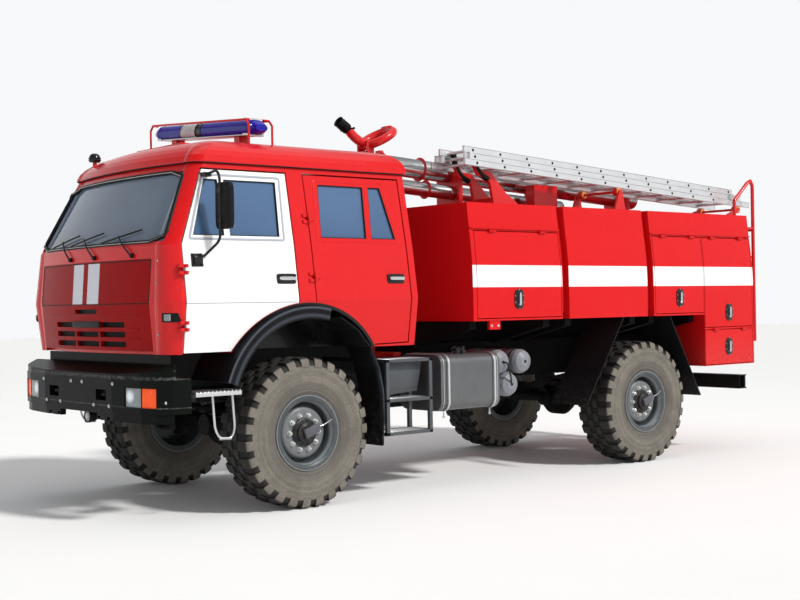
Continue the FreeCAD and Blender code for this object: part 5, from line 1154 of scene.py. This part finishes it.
def build_monitor():
    """The water cannon: a base and loop pipe that slew, and a curved pipe with a ribbed nozzle that tilts."""
    put("cannon_loop", cannon_loop(), "gear_red", "monitor", "red_paint", ("monitor_body",), bevel=0.002,
        smooth=45)
    root = np.array((0.0, at(MONITOR_PLACE), AXLE_Z))
    rise, fall = math.sin(NOZZLE_RISE), math.cos(NOZZLE_RISE)
    ahead, above, across = np.array((0, -fall, rise)), np.array((0, rise, fall)), np.array((1.0, 0, 0))
    sag = ((0.0, 0.0, 0.040), (0.05, 0.010, 0.043), (0.10, 0.016, 0.0445), (0.15, 0.016, 0.0445),
           (0.20, 0.010, 0.044),
           (0.25, 0.001, 0.042), (0.262, 0.0, 0.040))
    pipe = sweep([root + ahead * along - above * down for along, down, _ in sag], [r for _, _, r in sag], 28)
    eye = sweep([root - across * 0.052, root + across * 0.052], 0.0465, 32)
    put("nozzle_pipe", joined([pipe, eye]), "gear_red", "nozzle", "red_paint", ("monitor_nozzle",), smooth=50)
    profile = [(0.235, 0.030), (0.235, 0.044), (0.250, 0.046), (0.253, 0.056)]
    for rib in 0.258 + 0.014 * np.arange(5):
        profile += [(rib, 0.0585), (rib + 0.006, 0.0585), (rib + 0.008, 0.053), (rib + 0.012, 0.053)]
    profile += [(0.330, 0.0585), (0.345, 0.060), (0.352, 0.054), (0.360, 0.054), (0.366, 0.060),
                (0.379, 0.060),
                (0.380, 0.050), (0.340, 0.030)]
    v, f = lathe([(along, r * 0.9) for along, r in profile], segments=48)
    parts = [outward(root + v @ np.array([ahead, across, above]), f)]
    grip = root + ahead * 0.25
    parts += [sweep([grip + across * (s * 0.045), grip + across * (s * 0.085)], 0.007, 12) for s in (-1, 1)]
    parts += [pillow(grip + across * (s * 0.096), (0.014, 0.012, 0.012), 2.4, 10, 18) for s in (-1, 1)]
    put("nozzle_head", joined(parts), "black_plastic", "nozzle", "black_plastic", smooth=35)


def build_hose_tubes():
    """Two sheet-metal tubes turned about their own sloping lines, with seams, end caps and red straps."""
    metal, bands = [], []
    slant = math.hypot(1, TUBE_SLOPE)
    along, up = np.array((0, 1, -TUBE_SLOPE)) / slant, np.array((0, TUBE_SLOPE, 1)) / slant
    side = np.array((1.0, 0, 0))
    t = np.linspace(0, 2 * math.pi, 48, endpoint=False)[:, None]
    for x, z, r, far in HOSE_TUBES:
        length, start = (far - TUBE_START) * slant, np.array((x, at(TUBE_START), z))
        lip = [(0.0, 0.0), (0.0, r - 0.012), (0.006, r - 0.003), (0.014, r), (0.022, r - 0.002)]
        profile = lip + [(0.10, r - 0.002)]
        for seam in np.arange(0.9, length - 0.3, 0.93):
            profile += [(seam, r - 0.002), (seam + 0.006, r), (seam + 0.016, r), (seam + 0.022, r - 0.002)]
        profile += [(length - a, b) for a, b in reversed(lip)]
        v, f = lathe(profile, segments=48)
        metal.append(outward(start + v @ np.array([along, side, up]), f))
        bands += [sweep(start + along * distance + (r + 0.002) * (np.cos(t) * side + np.sin(t) * up), 0.020,
                        8,
                        closed=True, squash=(0.2, 1.0), up=along) for distance in (0.13, 0.62)]
        y, top = start[1], z + r
        bands.append(box((x - 0.035, x + 0.035), (y + 0.11, y + 0.15), (top - 0.006, top + 0.020)))
    put("hose_tube_metal", joined(metal), "tube_metal", "chassis", "galvanised", ("hose_tubes",), smooth=35)
    put("hose_tube_straps", joined(bands), "gear_red", "chassis", "red_paint", smooth=35)


# Seats

SEAT_WIDTH = 0.48
SEAT_X = 0.62
BENCH_WIDTH = 1.90
BACK_LEAN = math.atan2(0.05, 0.56)
# Name, x, width, front's place, base's bottom and top, cushion's height and how many sit there
SEATS = (("driver", SEAT_X, SEAT_WIDTH, -0.42, 1.75, 1.835, 1.93, 1),
         ("mate", -SEAT_X, SEAT_WIDTH, -0.42, 1.75, 1.835, 1.93, 1),
         ("crew", 0.0, BENCH_WIDTH, 0.56, 1.712, 1.72, 1.755, 3))


def cushion(centre, half, crown, tilt=0.0):
    """A cushion: a soft-cornered block crowned by (1-a^2)(1-b^2), with sewn channels, tilted about x."""
    v, f = pillow(ORIGIN, (1, 1, 1), 6.0, 26, 52)
    a, b, c = v.T
    dome = (1 - np.clip(a * a, 0, 1)) * (1 - np.clip(b * b, 0, 1))
    channels = np.exp(-((np.abs(a) - 0.42) / 0.035) ** 2) * (np.abs(b) < 0.96)
    c = c + np.sign(c) * (crown * dome - 0.10 * channels * dome ** 0.3)
    v = np.stack([a * (1 - 0.05 * (1 - b * b)), b * (1 - 0.04 * (1 - a * a)), c], 1) * np.array(half)
    part = turned((v, f), tilt)
    return part[0] + np.array(centre), part[1]


def build_seats():
    """Two front seats and the crew bench: bases, padded cushions and backs."""
    bases, pads = [], []
    for name, x, width, y, floor, base_top, top, count in SEATS:
        back = y + 0.33
        inset, forward = (0.05, 0.01) if count == 1 else (0.01, -0.02)
        bases.append(box((x - width / 2 + inset, x + width / 2 - inset), (at(y + forward), at(back)),
                         (floor, base_top)))
        each = width / count
        for k in range(count):
            middle = x + each * (k + 0.5) - width / 2
            seat = cushion((middle, at((y + back - 0.07) / 2), top - 0.05),
                           (each / 2 - 0.006, (back - y + 0.11) / 2, 0.047), 0.18)
            rest = cushion((middle, at(back + 0.055), top + 0.28), (each / 2 - 0.012, 0.278, 0.052), 0.2,
                           math.radians(90) - BACK_LEAN)
            look = ("seat_fabric", "chassis", "seat_fabric")
            pads.append(put(f"cushion_{name}_{k}", seat, *look, ("seats",), smooth=0))
            pads.append(put(f"backrest_{name}_{k}", rest, *look, smooth=0))
    put("seat_bases", joined(bases), "chassis_black", "chassis", "chassis_black", bevel=0.01)
    for pad in pads:
        pad.data.shade_smooth()


# Steps, tanks and small fittings

STEP_BAR = 0.035
STEP_FRONT, STEP_REAR = 0.815, 1.33
STEP_LOW, STEP_TOP = 0.52, 1.17
STEP_INNER, STEP_OUTER = 0.90, 1.215
LOOP_X = 1.15
FUEL_X = (0.64, 1.205)
FUEL_Z = (0.690, 1.185)
FUEL_PLACES = (1.44, 2.15)
# Place and height of each air tank
AIR_TANKS = ((2.33, 1.085), (2.62, 1.080), (2.44, 0.872))


def build_steps():
    """Crew steps as square-tube frames with ribbed treads, and the low wire-loop steps behind the bumper."""
    frames, treads, cases = [], [], []
    bar, front, rear, low, top = STEP_BAR, STEP_FRONT, STEP_REAR, STEP_LOW, STEP_TOP
    inner, outer, y0, y1 = STEP_INNER, STEP_OUTER, at(STEP_FRONT), at(STEP_REAR)
    for x in (outer - bar, inner):
        frames += [box((x, x + bar), (at(y), at(y + bar)), (low, top)) for y in (front, rear - bar)]
    for z in (low, (low + top) / 2 - 0.04, top - 0.028):
        tall = (z, z + 0.028)
        frames += [box((inner, outer), (y0, y0 + 0.03), tall), box((inner, outer), (y1 - 0.03, y1), tall),
                   box((outer - 0.03, outer), (y0, y1), tall), box((inner, inner + 0.03), (y0, y1), tall)]
        rib = box((0, 0.006), (y0 + 0.03, y1 - 0.03), (z + 0.022, z + 0.0285))
        treads += [box((inner + 0.02, outer - 0.02), (y0 + 0.02, y1 - 0.02), (z + 0.010, z + 0.024)),
                   repeated(rib, [(x, 0, 0) for x in np.linspace(inner + 0.035, outer - 0.045, 11)])]
    frames += [box((0.43, inner + 0.005), (at(y), at(y + bar)), (1.02, 1.06)) for y in (front, rear - bar)]
    case = [(y0 + 0.045, top - 0.02), (y1 - 0.045, top - 0.02), (y1 - 0.11, 0.88), (y0 + 0.045, 0.86)]
    cover = [(y0 + 0.075, top - 0.06), (y1 - 0.08, top - 0.06), (y1 - 0.125, 0.915), (y0 + 0.075, 0.90)]
    cases += [plate(case, "x", inner + 0.008, outer - 0.085), plate(cover, "x", outer - 0.086, outer - 0.080)]
    treads.append(box((0.99, 1.225), (at(-1.05), at(-0.64)), (0.960, 0.992)))
    treads.append(repeated(box((0.995, 1.22), (0, 0.010), (0.990, 1.0)),
                           [(0, y, 0) for y in np.linspace(at(-1.045), at(-0.655), 12)]))
    frames.append(box((0.43, 1.0), (at(-1.04), at(-0.99)), (0.97, 1.0)))
    wire = ((-0.86, 0.965), (-0.84, 0.70), (-0.80, 0.625), (-0.69, 0.62), (-0.66, 0.70), (-0.68, 0.965))
    grip_ring = [(0.0, 0.009), (0.0, 0.0125), (0.006, 0.0125), (0.006, 0.009)]
    grip = lathe(grip_ring, (LOOP_X, at(-0.80), 0.6235), "y", 16)
    loops = [sweep(rounded_path([(LOOP_X, at(place), z) for place, z in wire], 0.08, 8), 0.0092, 14),
             repeated(grip, [(0, k * 0.0095, -0.0004 * k) for k in range(11)])]
    put("step_frames", both(joined(frames)), "step_grey", "chassis", "chassis_black", ("steps",), bevel=0.003)
    put("step_treads", both(joined(treads)), "tread_metal", "chassis", "aluminium", bevel=0.0012)
    put("step_cases", both(joined(cases)), "step_grey", "chassis", "grey_paint", bevel=0.006)
    put("step_loops", both(joined(loops)), "tread_metal", "chassis", "aluminium")


def bolt(place, axis, radius, height):
    """A hexagon bolt head with a washer, standing on a face along an axis."""
    side, axis = (-1 if axis.startswith("-") else 1), axis[-1]
    washer = [(0.0, 0.0), (0.0, radius * 1.35), (height * 0.25, radius * 1.35), (height * 0.27, 0.0)]
    head = [(height * 0.2, 0.0), (height * 0.2, radius), (height * 0.9, radius), (height, radius * 0.8),
            (height, 0.0)]
    return joined([lathe(washer, place, axis, 14, side), lathe(head, place, axis, 6, side)])


def rounded_box_ring(across, up, radius, steps=8):
    """A closed ring round a box in a plane, its corners quarter circles of a radius."""
    t = np.linspace(0, math.pi / 2, steps)
    (x0, x1), (z0, z1) = (across[0] + radius, across[1] - radius), (up[0] + radius, up[1] - radius)
    corners = ((x1, z1), (x0, z1), (x0, z0), (x1, z0))
    quarters = [(x, z, t + k * math.pi / 2) for k, (x, z) in enumerate(corners)]
    return np.concatenate([np.stack([x + radius * np.cos(a), z + radius * np.sin(a)], 1)
                           for x, z, a in quarters])


def tank_ring(out, radius, y):
    """A ring round the fuel tank's section, this far out from its faces, at y."""
    ring = rounded_box_ring((FUEL_X[0] - out, FUEL_X[1] + out), (FUEL_Z[0] - out, FUEL_Z[1] + out), radius)
    return np.stack([ring[:, 0], np.full(len(ring), y), ring[:, 1]], 1)


def build_tank_fittings():
    """The fuel tank's straps, seams and cap, and the air tanks' bands, plugs and pipes."""
    straps, rubber, black = [], [], []
    low, top, strap_x = FUEL_Z[0], FUEL_Z[1], FUEL_X[1] - 0.075
    for y in (at(1.53), at(2.09)):
        for width, out, target in ((0.034, 0.0055, rubber), (0.020, 0.0085, straps)):
            before, after = y - width / 2, y + width / 2
            target.append(looped(np.array([tank_ring(0.002, 0.087, before), tank_ring(out, 0.091, before),
                                           tank_ring(out, 0.091, after), tank_ring(0.002, 0.087, after)])))
        straps.append(sweep([(strap_x, y, low - 0.012), (strap_x, y, low - 0.055)], 0.006, 10))
        straps.append(bolt((strap_x, y, low - 0.055), "-z", 0.011, 0.014))
    straps += [sweep(tank_ring(0.003, 0.088, at(place)), 0.004, 8, closed=True, up=Y_AXIS)
               for place in (FUEL_PLACES[0] + 0.03, FUEL_PLACES[1] - 0.03)]
    x, y = 1.045, at(1.78)
    black.append(lathe([(-0.02, 0.0), (-0.02, 0.056), (0.010, 0.056), (0.012, 0.050), (0.020, 0.050),
                        (0.022, 0.060),
                        (0.050, 0.060), (0.058, 0.052), (0.062, 0.0)], (x + 0.01, y, top), "z", 40))
    black += [box((x + 0.052, x + 0.090), (y - 0.02, y + 0.02), (top - 0.045, top + 0.035)),
              box((x - 0.02, x + 0.085), (y - 0.014, y + 0.014), (top + 0.05, top + 0.068))]
    t = np.linspace(0, 2 * math.pi, 48, endpoint=False)
    for place, z in AIR_TANKS:
        drain = [(1.066, 0.0), (1.066, 0.014), (1.076, 0.012), (1.076, 0.0)]
        black.append(lathe(drain, (0, at(place), z), "x", 6))
        for x in (0.60, 0.95):
            band = np.stack([np.full(48, x), at(place) + 0.1155 * np.cos(t), z + 0.1155 * np.sin(t)], 1)
            rubber.append(sweep(band, 0.012, 8, closed=True, squash=(1.0, 0.2), up=X_AXIS))
    hoses = (([(1.066, 2.33, 1.085), (1.10, 2.36, 1.075), (1.10, 2.40, 0.95), (1.066, 2.44, 0.872)], 0.05),
             ([(0.99, 2.56, 1.20), (0.80, 2.50, 1.215), (0.55, 2.52, 1.20)], 0.1))
    for hose, bend in hoses:
        black.append(sweep(rounded_path([(x, at(place), z) for x, place, z in hose], bend, 8), 0.008, 12))
    put("tank_straps", joined(straps), "tread_metal", "chassis", "aluminium")
    put("tank_rubbers", joined(rubber), "rubber", "chassis", "black_plastic")
    put("tank_fittings", joined(black), "gloss_black", "chassis", "black_plastic", bevel=0.002)


def ladder_under(place):
    """Height of the ladder's underside at a place behind the front axle."""
    return LADDER_BOTTOM - (place - LADDER_PLACE) * math.tan(LADDER_SLOPE)


def build_ladder_fittings():
    """Rung ends on the ladder's rails, its rail flanges, the hooks' rubber sleeves and the wooden rollers."""
    dots, flanges = [], []
    c, s = math.cos(LADDER_SLOPE), math.sin(LADDER_SLOPE)

    def on_ladder(x, along, up):
        y, z = at(LADDER_PLACE) + along * c + up * s, LADDER_BOTTOM - along * s + up * c
        return np.stack(np.broadcast_arrays(x, y, z), -1)
    rung_end = [(0.0, 0.0), (0.0, 0.0135), (0.0012, 0.0135), (0.0018, 0.010), (0.0018, 0.0)]
    for index in range(3):
        outer, inner = LADDER_OUTER - index * RAIL_IN, LADDER_OUTER - LADDER_WIDTH + index * RAIL_IN
        z = index * 0.063
        begin, end = index * 0.02, 4.36 - index * 0.12
        for x, side in ((outer, 1), (inner, -1)):
            disc = lathe(rung_end, ORIGIN, "x", 14, side)
            dots.append(repeated(disc, on_ladder(x, np.arange(0.15, end - 0.06, 0.355), z + 0.031)))
            for up in (z + 0.0035, z + 0.0585):
                line = on_ladder(x - side * 0.013, np.array([begin, end]), up)
                flanges.append(sweep(line, 0.0175, 4, up=X_AXIS, squash=(0.97, 0.20)))
    put("rung_ends", joined(dots), "rubber", "chassis", "black_plastic", smooth=0)
    # The rail flanges' near-black finish is painted shade between the stacked rails.
    put("rail_flanges", joined(flanges), "rail_edge_shade", "chassis", "aluminium", smooth=0)
    sleeves, rolls = [], []
    left, right, hook = LADDER_OUTER, LADDER_OUTER - LADDER_WIDTH, LADDER_PLACE + 0.18
    for x in (left - 0.097 - 0.017, right + 0.097 + 0.017):
        path = [(x, at(hook + back), ladder_under(hook + level) + up) for back, level, up in
                ((0.205, 0.205, -0.085), (0.100, 0.095, -0.045), (0.038, 0.045, 0.035),
                 (0.011, 0.015, 0.172))]
        sleeves.append(sweep(rounded_path(path, 0.08, 8), 0.031, 16, squash=(0.85, 1.0)))
    profile = [(-0.003, 0.0), (-0.003, 0.030), (0.002, 0.0415), (0.012, 0.0421), (0.026, 0.0415),
               (0.034, 0.0415),
               (0.048, 0.0421), (0.058, 0.0415), (0.063, 0.030), (0.063, 0.0)]
    rolls = [lathe(profile, (x, at(place), ladder_under(place) - 0.042 - SEAT_GAP), "x", 36)
             for place in (4.09, 6.085) for x in (right - 0.02, left - 0.03)]
    put("ladder_sleeves", joined(sleeves), "rubber", "chassis", "black_plastic")
    put("ladder_rollers", joined(rolls), "wood", "chassis", "grey_paint")


PANEL_HALF = 0.945
PANEL_SEAMS_Z = (1.677, 2.008)
GRILLE_Z = (1.333, 1.542)
SLOT_Z = (1.596, 1.644)
BARE_PLATE_Z = (1.489, 1.541)
CREASE_Z = 1.672


def front_points(x, z, out):
    """Points on the cab's front, this far out from it, along x at one height or up z at one x."""
    x, z = np.broadcast_arrays(x, z)
    return np.array([(a, front_y(a, b) - out, b) for a, b in zip(x, z)])


def front_sheet(x0, x1, count, heights, out):
    """A grid of points on the cab's front between two values of x, at each height."""
    return np.array([front_points(np.linspace(x0, x1, count), z, out) for z in heights])


def build_cab_details():
    """Front panel's shut lines, ribs and screws, the drip rail, the grille's backing and the bare plate."""
    low, high = PANEL_SEAMS_Z
    across, upright = np.linspace(-PANEL_HALF, PANEL_HALF, 40), np.linspace(low, high, 12)
    lines = [sweep(front_points(across, z, 0.0005), 0.0035, 6) for z in (high, low)]
    lines += [sweep(front_points(x, upright, 0.0005), 0.0035, 6) for x in (-PANEL_HALF, PANEL_HALF)]
    ribs = [sweep(front_points(np.linspace(x0, x1, count), z, 0.0), 0.009, 10, squash=(0.45, 1.0), up=Y_AXIS)
            for x0, x1, z, count in ((-0.80, 0.80, 1.585, 40), (-0.80, -0.64, 1.477, 10),
                                     (0.64, 0.80, 1.477, 10), (-0.80, -0.64, 1.400, 10),
                                     (0.64, 0.80, 1.400, 10))]
    screws = [both(bolt((1.045, front_y(1.045, z) - 0.001, z), "-y", 0.006, 0.005))
              for z in (1.83, 2.0, 1.44)]
    z0, z1 = GRILLE_Z
    backing = front_sheet(-0.62, 0.62, 30, np.linspace(z0, z1, 4), -0.036)
    lines.append(slab(backing, backing + (0, 0.004, 0)))
    mesh_x = np.linspace(-0.61, 0.61, 30)
    lines += [sweep(front_points(mesh_x, z, -0.032), 0.0025, 6) for z in np.arange(z0 + 0.006, z1, 0.0085)]
    slot = front_sheet(-0.20, 0.20, 8, SLOT_Z, -0.036)
    lines.append(slab(slot, slot + (0, 0.004, 0)))
    bare = front_sheet(-0.245, 0.240, 16, BARE_PLATE_Z, 0.010)
    put("grille_backing", joined(lines), "rubber", "chassis", "black_plastic")
    put("bare_plate", slab(bare, bare + (0, 0.008, 0)), "black_plastic", "chassis", "black_plastic",
        bevel=0.004)
    put("panel_ribs", joined(ribs), "shaded_front_red", "chassis", "red_paint")
    put("cab_screws", joined(screws), "chrome", "chassis", "aluminium")
    # Painted shade: a thin black sheet inside each front wheel arch, up to the cab's floor, standing for the
    # shade under the cab.
    under_cab_shade_sheet = box((0.470, 0.474), (at(-0.86), at(1.05)), (0.99, 1.285))
    put("arch_shade_sheets", both(under_cab_shade_sheet), "rubber", "chassis", "chassis_black")
    rail = sweep(cab_path(2.772, 0.012), 0.010, 10, squash=(0.6, 1.0), up=Z_AXIS)
    put("drip_rail", rail, "rubber", "chassis", "black_plastic")
    low, top = PRESSING_LOW, PRESSING_TOP
    # The front doors' pressing bead takes a greyed white, painted shade.
    for label, corners, finish, slot in (
            ("front", [(-1.045, low), (-0.868, top), (-0.150, top), (-0.172, low)], "shaded_pressing_white",
             "white_paint"),
            ("rear", [(0.160, low), (0.192, top), (0.912, top), (1.025, low)], "cab_red", "red_paint")):
        bead = sweep(window_path(corners, -0.003), 0.012, 10, closed=True, up=X_AXIS, squash=(0.55, 1.0))
        put_pair(f"door_pressing_{label}_{{}}", bead, finish, f"door_{label}_{{}}", slot)
    # Painted shade: a thin grey line on the white front door, along the fold at CREASE_Z, where its shade
    # falls.
    line = [(side_x(CREASE_Z) - 0.001, at(place), CREASE_Z) for place in np.linspace(-1.12, -0.10, 12)]
    crease_shade_line = sweep(line, 0.0028, 6)
    put_pair("door_crease_{}", crease_shade_line, "grey_paint", "door_front_{}", "white_paint")


def build_fasteners():
    """Bolts on the bumper and the body tabs, and the bumper's tow pins with the plate behind them, a black
    sheet that stands for the shade inside the bumper.
    """
    nose = at(BUMPER_NOSE)
    bumper_bolts = ((0.56, 0.885, -0.001), (0.62, 1.06, -0.001), (1.19, 0.93, 0.002), (0.30, 0.885, -0.001),
                    (0.10, 1.06, -0.001))
    heads = [both(bolt((x, float(bumper_y(x)) + back, z), "-y", 0.011, 0.009)) for x, z, back in bumper_bolts]
    heads += [both(bolt((1.24, at(place), 1.43), "x", 0.009, 0.008)) for place in (2.03, 2.115)]
    put("bolt_heads", joined(heads), "nut_steel", "chassis", "aluminium", smooth=30)
    # The wide black plate behind the tow holes is painted shade: it stands for the dark inside of the bumper.
    pins = [both(sweep([(0.4225, nose + 0.055, 0.915), (0.4225, nose + 0.055, 1.02)], 0.017, 20)),
            both(box((0.385, 0.46), (nose + 0.02, nose + 0.15), (0.955, 0.98))),
            box((-0.88, 0.88), (nose + 0.100, nose + 0.108), (0.850, 1.060))]
    put("tow_pins", joined(pins), "chassis_black", "chassis", "chassis_black", bevel=0.003)


# Stage

FLOOR_HALF = 60
HORIZON_TOP, SKY_BOTTOM = 0.26, 0.6
HORIZON_LIGHT, SKY_LIGHT = 0.96, 0.30
KEY_FROM = (11.0, 4.5, 10.0)
KEY_LIGHT = 3.0
SOFT_LIGHT = 300
SOFT_SIZE = 12
CAMERA_PLACE = (9.819, -8.609, 1.652)
CAMERA_AZIMUTH, CAMERA_RISE, CAMERA_ROLL = (math.radians(a) for a in (50.36, -0.12, -0.92))
CAMERA_LENS, CAMERA_SENSOR = 58.75, 36.0


def build_stage():
    """Floor, lights and the camera, which is set as the photographer's was."""
    f = Finish("floor_finish")
    f.set(color=f.mix(f.noise(0.6, 3.0), (0.86, 0.86, 0.86), (0.90, 0.90, 0.895)), rough=0.8, spec=0.1)
    f.bump(f.noise(30.0), 0.05, 0.001)
    mesh = bpy.data.meshes.new("floor")
    corners = ((-1, -1, 0), (1, -1, 0), (1, 1, 0), (-1, 1, 0))
    mesh.from_pydata([scaled(corner, FLOOR_HALF) for corner in corners], [], [(0, 1, 2, 3)])
    mesh.materials.append(f.material)
    floor = bpy.data.objects.new("floor", mesh)
    bpy.context.scene.collection.objects.link(floor)

    world = bpy.data.worlds.new("studio")
    bpy.context.scene.world = world
    world.use_nodes = True
    nodes, links = world.node_tree.nodes, world.node_tree.links
    nodes["Background"].inputs[0].default_value = (0.97, 0.985, 1.0, 1)
    kinds = ("ShaderNodeTexCoord", "ShaderNodeSeparateXYZ", "ShaderNodeMapRange")
    direction, parts, fall = (nodes.new(kind) for kind in kinds)
    links.new(direction.outputs["Generated"], parts.inputs[0])
    links.new(parts.outputs["Z"], fall.inputs[0])
    for socket, value in zip(fall.inputs[1:], (HORIZON_TOP, SKY_BOTTOM, HORIZON_LIGHT, SKY_LIGHT)):
        socket.default_value = value
    links.new(fall.outputs[0], nodes["Background"].inputs[1])

    def aimed(name, kind, place, target, tint, power):
        data = bpy.data.lights.new(name, kind)
        data.color, data.energy = tint, power
        light = bpy.data.objects.new(name, data)
        bpy.context.scene.collection.objects.link(light)
        light.location = place
        light.rotation_mode = "QUATERNION"
        light.rotation_quaternion = (Vector(target) - Vector(place)).to_track_quat("-Z", "Y")
        return data
    aimed("key", "SUN", KEY_FROM, ORIGIN, (1.0, 0.985, 0.96), KEY_LIGHT).angle = math.radians(7)
    sky = aimed("sky", "AREA", (0, 0, SOFT_SIZE), ORIGIN, (0.95, 0.97, 1.0), SOFT_LIGHT)
    sky.shape, sky.size, sky.size_y = "RECTANGLE", SOFT_SIZE, SOFT_SIZE

    bpy.context.scene.view_settings.view_transform = "Standard"
    a, b, c = CAMERA_AZIMUTH, CAMERA_RISE, CAMERA_ROLL
    back = Vector((math.sin(a) * math.cos(b), -math.cos(a) * math.cos(b), math.sin(b)))
    right = Vector((math.cos(a), math.sin(a), 0))
    up = back.cross(right)
    turned_right = right * math.cos(c) + up * math.sin(c)
    turned_up = up * math.cos(c) - right * math.sin(c)
    data = bpy.data.cameras.new("camera")
    data.lens, data.sensor_width, data.clip_end = CAMERA_LENS, CAMERA_SENSOR, 200.0
    camera = bpy.data.objects.new("camera", data)
    bpy.context.scene.collection.objects.link(camera)
    rows = list(zip(turned_right, turned_up, back, CAMERA_PLACE))
    camera.matrix_world = Matrix(rows + [(0, 0, 0, 1)])
    bpy.context.scene.camera = camera


# Add-on

class FireEngineSizes(bpy.types.PropertyGroup):
    """The sizes and colours that a user would change"""
    red: bpy.props.FloatVectorProperty(name="Red", description="Body paint", subtype="COLOR",
                                       default=(0.60, 0.006, 0.008), min=0, max=1)
    white: bpy.props.FloatVectorProperty(name="White", description="Door and stripe paint", subtype="COLOR",
                                         default=(0.80, 0.80, 0.80), min=0, max=1)
    lugs: bpy.props.IntProperty(name="Tread blocks", description="Shoulder blocks round each tyre",
                                default=27,
                                min=12, max=40)


class FIRE_OT_finishes(bpy.types.Operator):
    """Make the finishes and give each CAD node its own"""
    bl_idname = "fire_engine.finishes"
    bl_label = "Finishes"

    def execute(self, context):
        sizes = context.scene.fire_engine
        make_finishes(tuple(sizes.red), tuple(sizes.white))
        dress_nodes()
        return {"FINISHED"}


class FIRE_OT_stage(bpy.types.Operator):
    """Make the floor, the lights and the camera"""
    bl_idname = "fire_engine.stage"
    bl_label = "Stage"

    def execute(self, context):
        build_stage()
        return {"FINISHED"}


class FIRE_OT_wheels(bpy.types.Operator):
    """Make the tyres, rims, nuts and valve guards"""
    bl_idname = "fire_engine.wheels"
    bl_label = "Wheels"

    def execute(self, context):
        build_wheels(context.scene.fire_engine.lugs)
        return {"FINISHED"}


class FIRE_OT_cab_trim(bpy.types.Operator):
    """Make the window rubbers, wipers and handles"""
    bl_idname = "fire_engine.cab_trim"
    bl_label = "Cab trim"

    def execute(self, context):
        build_seals()
        build_wipers()
        build_handles()
        return {"FINISHED"}


class FIRE_OT_cab_details(bpy.types.Operator):
    """Make the front panel's details, the drip rail and the door pressings"""
    bl_idname = "fire_engine.cab_details"
    bl_label = "Cab details"

    def execute(self, context):
        build_cab_details()
        return {"FINISHED"}


class FIRE_OT_mirrors(bpy.types.Operator):
    """Make the door mirrors"""
    bl_idname = "fire_engine.mirrors"
    bl_label = "Mirrors"

    def execute(self, context):
        build_mirrors()
        return {"FINISHED"}


class FIRE_OT_lamps(bpy.types.Operator):
    """Make the lamps, the light bar and the horn"""
    bl_idname = "fire_engine.lamps"
    bl_label = "Lamps"

    def execute(self, context):
        build_lamps()
        build_light_bar()
        build_roof_horn()
        return {"FINISHED"}


class FIRE_OT_roof_gear(bpy.types.Operator):
    """Make the water cannon, the hose tubes and the ladder's fittings"""
    bl_idname = "fire_engine.roof_gear"
    bl_label = "Roof gear"

    def execute(self, context):
        build_monitor()
        build_hose_tubes()
        build_ladder_fittings()
        return {"FINISHED"}


class FIRE_OT_seats(bpy.types.Operator):
    """Make the padded seats"""
    bl_idname = "fire_engine.seats"
    bl_label = "Seats"

    def execute(self, context):
        build_seats()
        return {"FINISHED"}


class FIRE_OT_side_gear(bpy.types.Operator):
    """Make the steps, the tanks' fittings and the fasteners"""
    bl_idname = "fire_engine.side_gear"
    bl_label = "Side gear"

    def execute(self, context):
        build_steps()
        build_tank_fittings()
        build_fasteners()
        return {"FINISHED"}


OPERATORS = (FIRE_OT_finishes, FIRE_OT_stage, FIRE_OT_wheels, FIRE_OT_cab_trim, FIRE_OT_cab_details,
             FIRE_OT_mirrors,
             FIRE_OT_lamps, FIRE_OT_roof_gear, FIRE_OT_seats, FIRE_OT_side_gear)


class FIRE_PT_panel(bpy.types.Panel):
    """Lists the sizes and the pieces"""
    bl_label = "Fire engine"
    bl_idname = "FIRE_PT_panel"
    bl_space_type = "VIEW_3D"
    bl_region_type = "UI"
    bl_category = "Fire engine"

    def draw(self, context):
        sizes = context.scene.fire_engine
        for name in ("red", "white", "lugs"):
            self.layout.prop(sizes, name)
        for operator in OPERATORS:
            self.layout.operator(operator.bl_idname)


CLASSES = (FireEngineSizes, *OPERATORS, FIRE_PT_panel)


def register():
    for cls in CLASSES:
        bpy.utils.register_class(cls)
    bpy.types.Scene.fire_engine = bpy.props.PointerProperty(type=FireEngineSizes)


def unregister():
    del bpy.types.Scene.fire_engine
    for cls in reversed(CLASSES):
        bpy.utils.unregister_class(cls)


def main():
    register()
    for operator in OPERATORS:
        group, name = operator.bl_idname.split(".")
        getattr(getattr(bpy.ops, group), name)()


if __name__ == "__main__":
    main()
